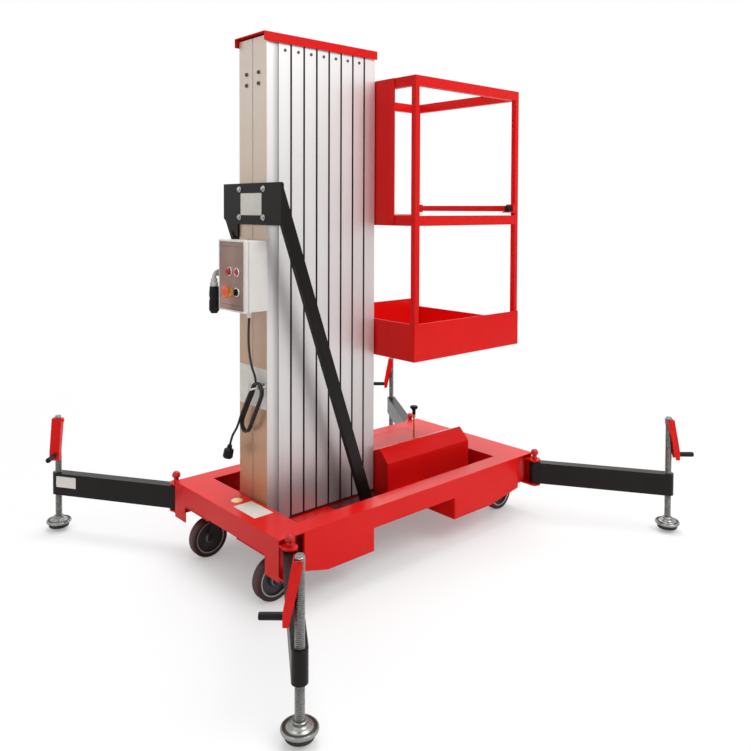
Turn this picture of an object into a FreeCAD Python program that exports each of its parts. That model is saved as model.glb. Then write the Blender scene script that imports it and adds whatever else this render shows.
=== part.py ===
"""Vertical mast lift: a wheeled tray, four swinging jack legs, an eight-stage aluminium mast and a basket.

Millimetres. The origin is on the floor under the middle of the tray. +X points to the basket's end,
+Y to the left side as seen from the mast looking at the basket, and +Z up.
"""
import FreeCAD
import Part
import math
import os
import re
import Sketcher

V = FreeCAD.Vector
doc = FreeCAD.newDocument("MastLift")

# Driving sizes: name, millimetres or degrees, what it measures
SIZES = [
    ("tray_length", 1364, "steel tray, over its end walls"),
    ("tray_width", 725, "steel tray, over its side walls"),
    ("deck_top", 273, "top of the decks above the floor"),
    ("plate", 4, "steel plate of the tray"),
    ("wall_bottom", 197, "lower edge of the end walls and of the sides over the fork tunnel"),
    ("apron_bottom", 113, "lower edge of the deep aprons"),
    ("mast_deck", 130, "deck plate at the mast's end"),
    ("basket_deck", 172, "deck plate at the basket's end"),
    ("flange", 78, "width of the flanges along the long sides"),
    ("corner_gap", 102, "cut-out of the side walls at the corners, along X"),
    ("apron_slope", 100, "length of the aprons' sloped lower corners"),
    ("apron_rise", 26, "height of the aprons' sloped lower corners"),
    ("tunnel_start", 416, "fork tunnel, from the mast's end"),
    ("tunnel_end", 855, "fork tunnel, end from the mast's end"),
    ("post_inset", 4, "corner posts of the end walls, from the sides"),
    ("post_width", 82, "corner posts of the end walls"),
    ("post_bottom", 131, "lower edge of the corner posts"),
    ("pocket_depth", 25, "depth of the corner pockets behind the side walls"),
    ("pan_half", 97, "half width of the narrow pan under the mast"),
    ("bed_thick", 6, "bed plate under the mast"),
    ("bed_top", 205, "top of the mast's bed plate"),
    ("plate_margin", 8, "caster plates from the corner pockets"),
    ("swivel_plate", 236, "plates over the swivel casters, from the mast's end"),
    ("pad_margin", 20, "pads round the struts' feet"),
    ("foot_boss_radius", 70, "lift cylinder's foot under the pan"),
    ("foot_boss_height", 14, "lift cylinder's foot under the pan"),
    ("mast_inset", 133, "mast's first face, from the tray's end"),
    ("mast_width", 182, "mast sections, along Y"),
    ("outer_depth", 105, "first mast section, along X"),
    ("stage_depth", 54.5, "other mast sections, along X"),
    ("stage_gap", 5, "gap between mast sections"),
    ("stage_wall", 4, "wall of the mast sections"),
    ("groove_depth", 3, "groove and flutes of the first section"),
    ("groove_width", 6, "groove down the first section"),
    ("flute_start", 12, "flutes in the first section's sides, from its first face"),
    ("flute_end", 53, "flutes' far edge, from its first face"),
    ("stage_lift", 3, "moving sections' foot above the bed plate"),
    ("slot_mouth", 12, "mouth of the T slots"),
    ("slot_head", 24, "width of the T slots inside"),
    ("slot_lip", 4, "lip of the T slots"),
    ("slot_deep", 6, "room behind the lips"),
    ("slot_pitch", 104, "from one T slot to the other"),
    ("rail_play", 0.4, "play of the rails in the slots"),
    ("cap_top", 1990, "top of the mast's cap"),
    ("cap_gap", 11, "cap's top above the mast sections"),
    ("cap_sheet", 3, "sheet of the cap"),
    ("cap_drop", 33, "height of the cap's sides"),
    ("cap_over", 15, "cap beyond the mast at the first section"),
    ("cap_front", 6, "cap beyond the mast at the last section"),
    ("cap_play", 5.5, "cap's sides from the mast sections"),
    ("basket_gap", 7, "mounting pads between the mast and the basket"),
    ("basket_length", 647, "basket along X"),
    ("basket_width", 635, "basket along Y"),
    ("basket_bottom", 761, "lower edge of the basket"),
    ("kick_height", 147, "kick boards on three sides"),
    ("entry_kick", 107, "kick board at the entry"),
    ("basket_sheet", 3, "sheet of the kick boards"),
    ("floor_rise", 22, "floor above the basket's lower edge"),
    ("post_size", 30, "basket posts, square tube"),
    ("rail_high", 40, "height of the basket rails"),
    ("top_rail", 1872, "top of the top rails"),
    ("rail_drop", 542, "top rails' top to the middle rails' top"),
    ("tube_wall", 2, "wall of the basket's tubes"),
    ("carrier_width", 400, "carrier plate at the back of the basket"),
    ("carrier_sheet", 5, "thickness of the carrier plate"),
    ("bracket_edge", 15, "mounting pads, from the mast's sides"),
    ("bracket_width", 40, "mounting pads between the mast and the basket"),
    ("bracket_end", 20, "mounting pads, from the ends of the carrier plate"),
    ("rib_width", 30, "ribs under the basket's floor"),
    ("rib_inset", 100, "outer ribs, from the ends of the basket"),
    ("gate_height", 525, "under side of the gate bar, below the top rails' top"),
    ("gate_size", 25, "gate bar, square tube"),
    ("gate_pivot", 262, "gate bar's pivot from the middle"),
    ("gate_play", 0.3, "gate bar from its rest and its lug"),
    ("lug_thick", 5, "lugs of the gate bar"),
    ("lug_margin", 6, "lugs above and below the gate bar"),
    ("rest_over", 8, "gate bar's rest, beyond the post"),
    ("gate_pin", 6, "radius of the gate bar's pivot"),
    ("gate_pin_end", 5, "head of the gate bar's pivot"),
    ("leg_inset", 22, "leg pivots, inwards from the tray's ends"),
    ("leg_outset", 28, "leg pivots, outwards from the tray's sides"),
    ("leg_angle", 57, "legs from the X axis"),
    ("leg_reach", 553, "leg pivot to jack screw"),
    ("leg_width", 45, "leg tube"),
    ("leg_height", 90, "leg tube"),
    ("leg_bottom", 155, "under side of the legs"),
    ("leg_wall", 4, "wall of the leg tube"),
    ("leg_drain", 6, "radius of the leg tube's drain hole"),
    ("drain_inset", 60, "leg tube's drain hole, from the jack screw"),
    ("ear_radius", 26, "rounded ears that hold the legs"),
    ("ear_thick", 6, "ears"),
    ("ear_play", 5.5, "ears from the leg"),
    ("pin_radius", 12, "leg pivot pins"),
    ("pin_over", 6, "leg pivot pins below the lower ears"),
    ("pin_play", 0.3, "play round the pins, screws and axles"),
    ("washer_radius", 18, "washers between the ears and the legs"),
    ("knob_radius", 16.5, "round knobs on the leg pins"),
    ("knob_neck_radius", 10, "necks of the knobs"),
    ("knob_neck", 16, "necks of the knobs, above the ears"),
    ("knob_cup", 6, "taper between a knob and its neck"),
    ("knob_rim", 5, "straight rim of a knob, under its dome"),
    ("screw_radius", 13.5, "jack screws"),
    ("screw_chamfer", 3, "chamfer at the top of the jack screws"),
    ("jack_top", 484, "top of the jack screws"),
    ("nut_radius", 20, "nut tubes in the legs"),
    ("foot_clear", 14, "feet above the floor while the wheels carry"),
    ("pad_radius", 43, "rubber pads under the feet"),
    ("pad_thick", 14, "rubber pads under the feet"),
    ("foot_radius", 50, "pressed steel cups of the feet"),
    ("foot_rim", 8, "rims of the cups"),
    ("foot_rise", 22, "cups with their rims"),
    ("foot_dish", 34, "radius of the cups at their shoulder"),
    ("neck_radius", 20.5, "collars over the feet"),
    ("neck_height", 10, "collars over the feet"),
    ("crank_bolt", 463, "crank's hinge bolt above the floor"),
    ("crank_over", 11, "crank's cheeks above the hinge bolt"),
    ("crank_heel", 8, "crank's cheeks below the hinge bolt, behind the screw"),
    ("crank_back", 9, "crank's cheeks behind the screw's axis"),
    ("crank_near", 17, "crank's web from the screw's axis at the top"),
    ("crank_far", 42, "crank's web from the screw's axis at the grip"),
    ("crank_bend", 340, "bend of the crank's web"),
    ("crank_low", 305, "lower end of the crank"),
    ("crank_lip", 16, "crank's cheeks at their lower end"),
    ("crank_half", 20, "half width of the crank"),
    ("crank_sheet", 3, "sheet of the crank"),
    ("bolt_radius", 6, "crank's hinge bolts"),
    ("bolt_over", 4, "crank's hinge bolts beyond the cheeks"),
    ("grip_level", 325, "middle of the crank's grip"),
    ("grip_radius", 10, "crank's grip"),
    ("grip_length", 63, "crank's grip"),
    ("grip_bore", 3, "bore along the crank's grip"),
    ("grip_round", 2, "rounded ends of the crank's grip"),
    ("wheel_radius", 76, "caster wheels"),
    ("wheel_width", 40, "caster wheels"),
    ("tread_thick", 16, "polyurethane treads"),
    ("hub_radius", 22, "hub boss"),
    ("axle_radius", 7, "wheel axles"),
    ("wheel_track", 444, "between the wheels' middles, along Y"),
    ("wheel_inset", 70, "wheel axles, from the tray's ends"),
    ("caster_trail", 40, "swivel axis to the wheel axle"),
    ("fork_play", 5, "fork's cheeks from the wheel"),
    ("fork_sheet", 4, "fork's cheeks"),
    ("crown_half", 34, "half length of the fork's crown"),
    ("crown_thick", 8, "fork's crown"),
    ("cheek_tip", 14, "fork's cheeks below the axle"),
    ("cheek_half", 16, "half width of the fork's cheeks at the axle"),
    ("cheek_nose", 10, "half width of the fork's cheeks at their lower end"),
    ("nut_over", 4, "nuts round the axles, beyond their radius"),
    ("nut_thick", 6, "axle nuts"),
    ("race_radius", 30, "ball race of the swivel casters"),
    ("stem_radius", 10.7, "stem of the swivel casters"),
    ("stem_nut", 14, "radius of the swivel casters' upper nut"),
    ("stem_nut_thick", 9, "swivel casters' upper nut"),
    ("stem_over", 10, "stem above the caster plate"),
    ("riser_half", 30, "half length of the fixed casters' riser"),
    ("riser_side", 26, "half width of the fixed casters' riser"),
    ("caster_plate_top", 195, "top of the caster plates"),
    ("crown_bottom", 160, "fork crown above the floor"),
    ("brace_half", 193, "half width of the brace plate"),
    ("brace_thick", 8, "brace plate"),
    ("brace_top", 1449, "top of the brace plate"),
    ("brace_middle", 1296, "lower edge of the brace plate at the mast"),
    ("brace_wing", 1318, "lower edge of the wings at their ends"),
    ("brace_tip", 1250, "lowest point of the wings"),
    ("wing_flat", 12, "lower edge of the wings beside the mast"),
    ("cheek_length", 70, "brace's cheeks along the mast"),
    ("touch_play", 0.3, "brace's cheeks from the mast"),
    ("strut_drop", 3, "struts' top below the brace's top"),
    ("strut_wide", 50, "struts, measured along X"),
    ("strut_thick", 20, "struts, along Y"),
    ("strut_middle", 180, "middle of the struts from the mast's middle"),
    ("strut_foot", 567, "far side of the strut's foot, from the tray's end"),
    ("strut_pad", 5, "pad under the strut's foot"),
    ("cover_start", 5.5, "power cover, from the mast's last section"),
    ("cover_length", 490, "power cover"),
    ("cover_near", -172, "power cover's near face"),
    ("cover_far", 30, "power cover's far face"),
    ("cover_fold", 328, "fold of the near face"),
    ("cover_ridge", 378, "ridge"),
    ("cover_ridge_at", -122, "ridge, along Y"),
    ("cover_eave", 318, "upper edge of the far face"),
    ("cover_sheet", 2.5, "sheet of the power cover"),
    ("motor_radius", 62, "pump motor under the cover"),
    ("motor_length", 170, "pump motor under the cover"),
    ("motor_start", 25, "pump motor, from the cover's end"),
    ("unit_play", 12, "oil tank from the cover and the deep pan"),
    ("tank_length", 190, "oil tank under the cover"),
    ("pump_start", 190, "pump block, from the cover's end"),
    ("pump_half", 40, "half width of the pump block"),
    ("pump_drop", 25, "pump block below the cover's eave"),
    ("valve_past", 9, "lowering valve past the oil tank"),
    ("valve_y", 87, "lowering valve"),
    ("valve_half", 24, "half width of the valve block"),
    ("valve_drop", 20, "valve block below the decks"),
    ("valve_pipe", 60, "height of the channel from the tank to the valve"),
    ("valve_rise", 172, "top of the valve's knob, above the decks"),
    ("valve_stem", 5, "radius of the valve's stem"),
    ("valve_knob", 18, "radius of the valve's knob"),
    ("valve_head", 20, "valve's knob, straight part"),
    ("valve_cup", 14, "valve's knob, tapered part"),
    ("box_depth", 112, "control box, along X"),
    ("box_width", 162, "control box, along Y"),
    ("box_middle", -29, "middle of the control box, along Y"),
    ("box_bottom", 985, "control box"),
    ("box_height", 258, "control box"),
    ("box_bracket", 8, "bracket behind the control box"),
    ("bracket_inset", 30, "bracket from the ends of the control box"),
    ("bracket_near", -71, "bracket's near edge, along Y"),
    ("bracket_far", 41, "bracket's far edge, along Y"),
    ("button_near", -49, "near column of buttons, from the box's middle"),
    ("button_far", 4, "far column of buttons, from the box's middle"),
    ("button_upper", 145, "upper row of buttons, above the box's lower edge"),
    ("button_lower", 73, "lower row of buttons, above the box's lower edge"),
    ("button_radius", 14, "button bezels"),
    ("bezel_thick", 5, "button bezels"),
    ("button_reach", 16, "buttons from the box"),
    ("button_step", 3, "buttons within their bezels"),
    ("stop_radius", 17, "stop button"),
    ("stop_collar", 8, "collar of the stop button"),
    ("stop_neck", 8, "radius of the stop button's neck"),
    ("stop_reach", 34, "stop button from the box"),
    ("stop_head", 14, "head of the stop button"),
    ("socket_x", 32, "side socket, from the box's front"),
    ("socket_level", 152, "side socket's bend, above the box's lower edge"),
    ("socket_bend", 22, "radius of the side socket's bend"),
    ("socket_pipe", 8, "radius of the side socket's pipe"),
    ("socket_nipple", 13, "side socket's pipe from the box to its bend"),
    ("socket_radius", 18, "barrel of the side socket"),
    ("socket_foot", 8, "lower end of the barrel, above the box's lower edge"),
    ("socket_barrel", 84, "barrel of the side socket"),
    ("socket_taper", 24, "taper over the side socket's barrel"),
    ("hook_y", -84, "cord hook, along Y"),
    ("hook_z", 708, "cord hook"),
    ("hook_rod", 4, "radius of the cord hook's rod"),
    ("hook_reach", 72, "cord hook from the mast"),
    ("hook_tip", 24, "cord hook's upturned tip"),
    ("hook_base", 13, "radius of the cord hook's base"),
    ("hook_base_thick", 4, "cord hook's base"),
    ("hook_base_y", 8, "cord hook's base from its rod, along Y"),
    ("cord_radius", 4.5, "power cord"),
    ("hank_thick", 30, "cord hank, along X"),
]

sheet = doc.addObject("Spreadsheet::Sheet", "Sizes")
for row, (alias, value, note) in enumerate(SIZES, 1):
    sheet.set(f"A{row}", alias)
    sheet.set(f"B{row}", str(value))
    sheet.set(f"C{row}", note)
    sheet.setAlias(f"B{row}", alias)
doc.recompute()
NAMES = {alias for alias, value, note in SIZES}

# Places worked out from the driving sizes, as formulas
PLACES = {
    "valve_x": "tunnel_end - half_l + unit_play + tank_length + valve_past",
    "stage_top": "cap_top - cap_gap",
    "half_l": "tray_length / 2",
    "half_w": "tray_width / 2",
    "mast_start": "mast_inset - tray_length / 2",
    "stage_pitch": "stage_depth + stage_gap",
    "mast_end": "mast_inset - tray_length / 2 + outer_depth + 7 * (stage_depth + stage_gap)",
    "basket_start": "mast_inset - tray_length / 2 + outer_depth + 7 * (stage_depth + stage_gap) + basket_gap",
    "leg_top": "leg_bottom + leg_height",
    "mid_rail": "top_rail - rail_drop",
    "bar_low": "top_rail - gate_height",
    "cup_low": "foot_clear + pad_thick",
    "neck_low": "foot_clear + pad_thick + foot_rise",
}


def formula(text):
    """A formula with the places written out and every size read from the sheet."""
    text = str(text)
    for name, rule in PLACES.items():
        text = re.sub(rf"\b{name}\b", f"({rule})", text)
    return re.sub(r"\b[a-z][a-z_]*\b", lambda word: f"Sizes.{word[0]}" if word[0] in NAMES else word[0], text)


def number(text):
    """The value of a formula in millimetres."""
    text = str(text)
    for name, rule in PLACES.items():
        text = re.sub(rf"\b{name}\b", f"({rule})", text)
    total = sheet.evalExpression(text)
    return float(getattr(total, "Value", total))


PLANES = {
    "xy": (FreeCAD.Rotation(), V(0, 0, 1)),
    "xz": (FreeCAD.Rotation(V(1, 0, 0), 90), V(0, 1, 0)),
    "yz": (FreeCAD.Rotation(V(1, 1, 1), 120), V(1, 0, 0)),
}
AXES = {
    "x": FreeCAD.Rotation(V(0, 1, 0), 90),
    "y": FreeCAD.Rotation(V(1, 0, 0), -90),
    "z": FreeCAD.Rotation(),
}


def place(item, x="0", y="0", z="0"):
    """Bind an object's position to formulas."""
    for axis, rule in zip("xyz", (x, y, z)):
        item.setExpression(f".Placement.Base.{axis}", formula(rule))
    return item


def box(name, low, high):
    """A block between two corners."""
    item = doc.addObject("Part::Box", name)
    for side, start, end in zip(("Length", "Width", "Height"), low, high):
        item.setExpression(side, formula(f"({end}) - ({start})"))
    return place(item, *low)


def cylinder(name, radius, length, base, axis="z"):
    """A round bar that starts at base and runs along an axis."""
    item = doc.addObject("Part::Cylinder", name)
    item.Placement.Rotation = AXES[axis]
    item.setExpression("Radius", formula(radius))
    item.setExpression("Height", formula(length))
    return place(item, *base)


def cone(name, radius_low, radius_high, length, base, axis="z"):
    """A tapered round bar that starts at base and runs along an axis."""
    item = doc.addObject("Part::Cone", name)
    item.Placement.Rotation = AXES[axis]
    item.setExpression("Radius1", formula(radius_low))
    item.setExpression("Radius2", formula(radius_high))
    item.setExpression("Height", formula(length))
    return place(item, *base)


def draw(sketch, points):
    """A closed outline in a sketch, each corner held by two dimensions bound to formulas."""
    flat = [V(number(across), number(along), 0) for across, along in points]
    count = len(flat)
    first = sketch.GeometryCount
    for step in range(count):
        sketch.addGeometry(Part.LineSegment(flat[step], flat[(step + 1) % count]), False)
    for step in range(count):
        after = first + (step + 1) % count
        sketch.addConstraint(Sketcher.Constraint("Coincident", first + step, 2, after, 1))
    for step, corner in enumerate(points):
        for kind, value, rule in zip(("DistanceX", "DistanceY"), (flat[step].x, flat[step].y), corner):
            held = sketch.addConstraint(Sketcher.Constraint(kind, -1, 1, first + step, 1, value))
            sketch.setExpression(f"Constraints[{held}]", formula(rule))
    return sketch


def ring(sketch, radius, across="0", along="0"):
    """A circle in a sketch, its centre and radius bound to formulas."""
    centre = V(number(across), number(along), 0)
    curve = sketch.addGeometry(Part.Circle(centre, V(0, 0, 1), number(radius)), False)
    for kind, value, rule in (("DistanceX", centre.x, across), ("DistanceY", centre.y, along)):
        held = sketch.addConstraint(Sketcher.Constraint(kind, -1, 1, curve, 3, value))
        sketch.setExpression(f"Constraints[{held}]", formula(rule))
    held = sketch.addConstraint(Sketcher.Constraint("Radius", curve, number(radius)))
    sketch.setExpression(f"Constraints[{held}]", formula(radius))
    return sketch


def prism(name, plane, points, start, end):
    """A flat outline in a plane, run along the plane's normal from start to end."""
    turn, normal = PLANES[plane]
    outline = doc.addObject("Sketcher::SketchObject", name + "_outline")
    outline.Placement.Rotation = turn
    draw(outline, points)
    shift = {"xy": ("0", "0", start), "xz": ("0", start, "0"), "yz": (start, "0", "0")}[plane]
    place(outline, *shift)
    item = doc.addObject("Part::Extrusion", name)
    item.Base = outline
    item.DirMode = "Custom"
    item.Dir = normal
    item.Solid = True
    item.setExpression("LengthFwd", formula(f"({end}) - ({start})"))
    return item


def fuse(name, *parts):
    """Several overlapping solids as one."""
    item = doc.addObject("Part::MultiFuse", name)
    item.Shapes = list(parts)
    item.Refine = True
    return item


def cut(name, base, *tools):
    """A solid less one or more tools."""
    item = doc.addObject("Part::Cut", name)
    item.Base = base
    item.Tool = tools[0] if len(tools) == 1 else fuse(name + "_tools", *tools)
    item.Refine = True
    return item


def mirrored(name, source, normal):
    """The mirror image of a solid in a plane through the origin."""
    item = doc.addObject("Part::Mirroring", name)
    item.Source = source
    item.Base = V(0, 0, 0)
    item.Normal = normal
    return item


def both_sides(name, source):
    """A solid and its mirror image on the other long side."""
    return fuse(name, source, mirrored(name + "_far", source, V(0, 1, 0)))


def body_with(name):
    """An empty PartDesign body."""
    return doc.addObject("PartDesign::Body", name)


def sketch_on(body, plane, name, offset="0"):
    """A sketch on one of a body's own planes, moved along its normal."""
    role = plane.upper() + "_Plane"
    origin = next(item for item in body.Origin.OriginFeatures if item.Role == role)
    sketch = body.newObject("Sketcher::SketchObject", name)
    sketch.AttachmentSupport = (origin, "")
    sketch.MapMode = "FlatFace"
    sketch.setExpression(".AttachmentOffset.Base.z", formula(offset))
    return sketch


def pad(body, sketch, length, name, middle=False):
    """Add a sketch's outline to a body as a slab."""
    item = body.newObject("PartDesign::Pad", name)
    item.Profile = sketch
    item.setExpression("Length", formula(length))
    item.Midplane = middle
    return item


def turned(body, sketch, name, axis="V_Axis"):
    """Turn a sketch's outline about one of its axes."""
    item = body.newObject("PartDesign::Revolution", name)
    item.Profile = sketch
    item.ReferenceAxis = (sketch, [axis])
    item.Angle = 360
    return item


def turn_body(body, angle, x="0", y="0", z="0"):
    """Stand a body at a place, turned about Z by a formula in degrees."""
    body.Placement.Rotation = FreeCAD.Rotation(V(0, 0, 1), 1)
    body.setExpression(".Placement.Rotation.Angle", f"({formula(angle)}) * 1 deg")
    return place(body, x, y, z)


NODES = []


def node(name, item):
    """Hand an object over as a finished piece."""
    item.Label = name
    NODES.append((name, item))
    return item


# Steel tray: the folded parts of one long side
def side_parts():
    wall = prism(
        "side_wall",
        "xz",
        [
            ("corner_gap - half_l", "deck_top"),
            ("corner_gap - half_l", "apron_bottom + apron_rise"),
            ("corner_gap + apron_slope - half_l", "apron_bottom"),
            ("tunnel_start - half_l", "apron_bottom"),
            ("tunnel_start - half_l", "wall_bottom"),
            ("tunnel_end - half_l", "wall_bottom"),
            ("tunnel_end - half_l", "apron_bottom"),
            ("half_l - basket_deck - apron_slope", "apron_bottom"),
            ("half_l - corner_gap", "apron_bottom + apron_rise"),
            ("half_l - corner_gap", "deck_top"),
        ],
        "-half_w",
        "plate - half_w",
    )
    lip = box(
        "side_flange",
        ("corner_gap - half_l", "-half_w", "deck_top - plate"),
        ("half_l - corner_gap", "flange - half_w", "deck_top"),
    )
    return [wall, lip]


def corner_parts():
    """Two ears and the pocket's walls, at the mast's end of the near side."""
    parts = []
    pivot = ("leg_inset - half_l", "-half_w - leg_outset")
    levels = (("upper", "leg_top + ear_play"), ("lower", "leg_bottom - ear_play - ear_thick"))
    for level, low in levels:
        high = f"{low} + ear_thick"
        tongue = box(
            f"{level}_ear_tongue",
            ("-half_l", "-half_w - leg_outset", low),
            ("leg_inset + ear_radius - half_l", "pocket_depth + plate - half_w", high),
        )
        disc = cylinder(f"{level}_ear_disc", "ear_radius", "ear_thick", (*pivot, low))
        ear = fuse(f"{level}_ear_solid", tongue, disc)
        hole = cylinder(
            f"{level}_ear_hole", "pin_radius + pin_play", "3 * ear_thick", (*pivot, f"{low} - ear_thick")
        )
        parts.append(cut(f"{level}_ear", ear, hole))
    back = box(
        "pocket_back",
        ("-half_l", "pocket_depth - half_w", "leg_bottom - ear_play - ear_thick"),
        ("corner_gap - half_l", "pocket_depth + plate - half_w", "deck_top"),
    )
    side = box(
        "pocket_side",
        ("corner_gap - half_l", "-half_w", "leg_bottom - ear_play - ear_thick"),
        ("corner_gap + plate - half_l", "pocket_depth + plate - half_w", "deck_top"),
    )
    return parts + [back, side]


def end_wall(name, start, end):
    """An end wall with a post at each corner."""
    edge = "half_w - post_inset"
    inner = f"{edge} - post_width"
    points = [
        (f"-({edge})", "deck_top"),
        (f"-({edge})", "post_bottom"),
        (f"-({inner})", "post_bottom"),
        (f"-({inner})", "wall_bottom - plate"),
        (f"-({inner} - 2 * plate)", "wall_bottom"),
        (f"{inner} - 2 * plate", "wall_bottom"),
        (f"{inner}", "wall_bottom - plate"),
        (f"{inner}", "post_bottom"),
        (f"{edge}", "post_bottom"),
        (f"{edge}", "deck_top"),
    ]
    return prism(name, "yz", points, start, end)


def tray():
    corner = fuse("near_mast_corner", *corner_parts())
    other = mirrored("near_basket_corner", corner, V(1, 0, 0))
    near = fuse("near_side", *side_parts(), corner, other)
    inner = "half_w - plate / 2"
    pieces = [
        both_sides("long_sides", near),
        end_wall("mast_end_wall", "-half_l", "plate - half_l"),
        end_wall("basket_end_wall", "half_l - plate", "half_l"),
        box(
            "mast_end_deck",
            ("-half_l", "-half_w", "deck_top - plate"),
            ("mast_deck - half_l", "half_w", "deck_top"),
        ),
        box(
            "mast_deck_lip",
            ("mast_deck - plate - half_l", f"-({inner})", "caster_plate_top - plate"),
            ("mast_deck - half_l", inner, "deck_top - plate / 2"),
        ),
        box(
            "basket_end_deck",
            ("half_l - basket_deck", "-half_w", "deck_top - plate"),
            ("half_l", "half_w", "deck_top"),
        ),
        prism(
            "basket_pan",
            "xz",
            [
                ("tunnel_end - half_l", "wall_bottom"),
                ("tunnel_end - half_l", "apron_bottom"),
                ("half_l - basket_deck - apron_slope", "apron_bottom"),
                ("half_l - basket_deck", "apron_bottom + apron_rise"),
                ("half_l - basket_deck", "deck_top"),
                ("half_l - basket_deck + plate", "deck_top"),
                ("half_l - basket_deck + plate", "apron_bottom + apron_rise - plate"),
                ("half_l - basket_deck - apron_slope", "apron_bottom - plate"),
                ("tunnel_end - half_l - plate", "apron_bottom - plate"),
                ("tunnel_end - half_l - plate", "wall_bottom"),
            ],
            f"-({inner})",
            inner,
        ),
        box(
            "tunnel_roof",
            ("tunnel_start - half_l - plate", f"-({inner})", "wall_bottom"),
            ("tunnel_end - half_l", inner, "wall_bottom + plate"),
        ),
        box(
            "narrow_pan_floor",
            ("mast_deck - plate - half_l", "-pan_half", "apron_bottom - plate"),
            ("tunnel_start - half_l", "pan_half", "apron_bottom"),
        ),
        box(
            "narrow_pan_start",
            ("mast_deck - plate - half_l", "-pan_half", "apron_bottom - plate"),
            ("mast_deck - half_l", "pan_half", "deck_top - plate"),
        ),
        box(
            "narrow_pan_end",
            ("tunnel_start - half_l - plate", "-pan_half", "apron_bottom - plate"),
            ("tunnel_start - half_l", "pan_half", "wall_bottom + plate"),
        ),
        both_sides(
            "narrow_pan_sides",
            box(
                "narrow_pan_side",
                ("mast_deck - plate - half_l", "-pan_half", "apron_bottom - plate"),
                ("tunnel_start - half_l", "plate - pan_half", "wall_bottom + plate"),
            ),
        ),
        box(
            "mast_bed",
            ("mast_deck - half_l", "-pan_half", "bed_top - bed_thick"),
            ("mast_end", "pan_half", "bed_top"),
        ),
        both_sides("caster_plates", caster_plates()),
        cylinder_foot(),
        both_sides(
            "strut_pads",
            box(
                "strut_pad_near",
                (
                    "strut_foot - strut_wide - pad_margin - half_l",
                    "-strut_middle - strut_thick",
                    "wall_bottom",
                ),
                (
                    "strut_foot + pad_margin - half_l",
                    "strut_thick - strut_middle",
                    "wall_bottom + plate + strut_pad",
                ),
            ),
        ),
    ]
    return node("base_tray", fuse("tray_solid", *pieces))


def caster_plates():
    """The plates that carry the near casters, one at each end."""
    swivel = cut(
        "swivel_plate",
        box(
            "swivel_plate_blank",
            ("-half_l", "-half_w + pocket_depth + plate + plate_margin", "caster_plate_top - plate"),
            ("swivel_plate - half_l", "-pan_half", "caster_plate_top"),
        ),
        cylinder(
            "swivel_plate_hole",
            "stem_radius + pin_play",
            "4 * plate",
            ("wheel_inset + caster_trail - half_l", "-wheel_track / 2", "caster_plate_top - 3 * plate"),
        ),
    )
    fixed = box(
        "fixed_plate",
        ("half_l - basket_deck", "-half_w + pocket_depth + plate + plate_margin", "caster_plate_top - plate"),
        ("half_l", "-pan_half", "caster_plate_top"),
    )
    return fuse("near_caster_plates", swivel, fixed)


# Mast: sections with T slots on one face and rails on the other
MOVING = 7
SECTION_EDGE = "mast_width / 2"
SLOT_MIDDLES = ("-slot_pitch / 2", "slot_pitch / 2")


def slot(face, middle):
    """Corners of a T slot in a face, from low Y to high Y."""
    steps = [
        (face, "-slot_mouth / 2"),
        (f"{face} - slot_lip", "-slot_mouth / 2"),
        (f"{face} - slot_lip", "-slot_head / 2"),
        (f"{face} - slot_lip - slot_deep", "-slot_head / 2"),
        (f"{face} - slot_lip - slot_deep", "slot_head / 2"),
        (f"{face} - slot_lip", "slot_head / 2"),
        (f"{face} - slot_lip", "slot_mouth / 2"),
        (face, "slot_mouth / 2"),
    ]
    return [(across, f"{middle} + {aside}") for across, aside in steps]


def rail(middle):
    """Corners of a T rail on the near face, from high Y to low Y."""
    neck = "stage_gap + slot_lip + rail_play"
    head = "stage_gap + slot_lip + slot_deep - rail_play"
    steps = [
        ("0", "slot_mouth / 2 - rail_play"),
        (f"-({neck})", "slot_mouth / 2 - rail_play"),
        (f"-({neck})", "slot_head / 2 - rail_play"),
        (f"-({head})", "slot_head / 2 - rail_play"),
        (f"-({head})", "rail_play - slot_head / 2"),
        (f"-({neck})", "rail_play - slot_head / 2"),
        (f"-({neck})", "rail_play - slot_mouth / 2"),
        ("0", "rail_play - slot_mouth / 2"),
    ]
    return [(across, f"{middle} + {aside}") for across, aside in steps]


def chambers(sketch, start, end, edge):
    """Three hollow chambers inside a section."""
    web = "slot_pitch / 2 - slot_head - stage_wall"
    for low, high in (
        (f"-({edge})", f"-({web}) - stage_wall"), (f"-({web})", web), (f"{web} + stage_wall", edge)
    ):
        draw(sketch, [(start, low), (end, low), (end, high), (start, high)])


def outer_section():
    """The fixed first section: flutes on its sides and a groove down its back."""
    body = body_with("mast_section_1_body")
    sketch = sketch_on(body, "xy", "mast_section_1_outline")
    edge = SECTION_EDGE
    floor = f"{edge} - groove_depth"
    flute = [("flute_start", edge), ("flute_start", floor), ("flute_end", floor), ("flute_end", edge)]
    near = [(across, f"-({along})") for across, along in flute]
    groove = [
        ("0", "groove_width / 2"),
        ("groove_depth", "groove_width / 2"),
        ("groove_depth", "-groove_width / 2"),
        ("0", "-groove_width / 2"),
    ]
    outline = [("0", f"-({edge})"), *near, ("outer_depth", f"-({edge})")]
    for middle in SLOT_MIDDLES:
        outline += slot("outer_depth", middle)
    outline += [("outer_depth", edge), *reversed(flute), ("0", edge), *groove]
    draw(sketch, outline)
    inside = "mast_width / 2 - groove_depth - stage_wall"
    back = "outer_depth - slot_lip - slot_deep - stage_wall"
    chambers(sketch, "groove_depth + stage_wall", back, inside)
    pad(body, sketch, "stage_top - bed_top", "mast_section_1_pad")
    place(body, "mast_start", "0", "bed_top")
    return node("mast_section_1", body)


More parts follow.
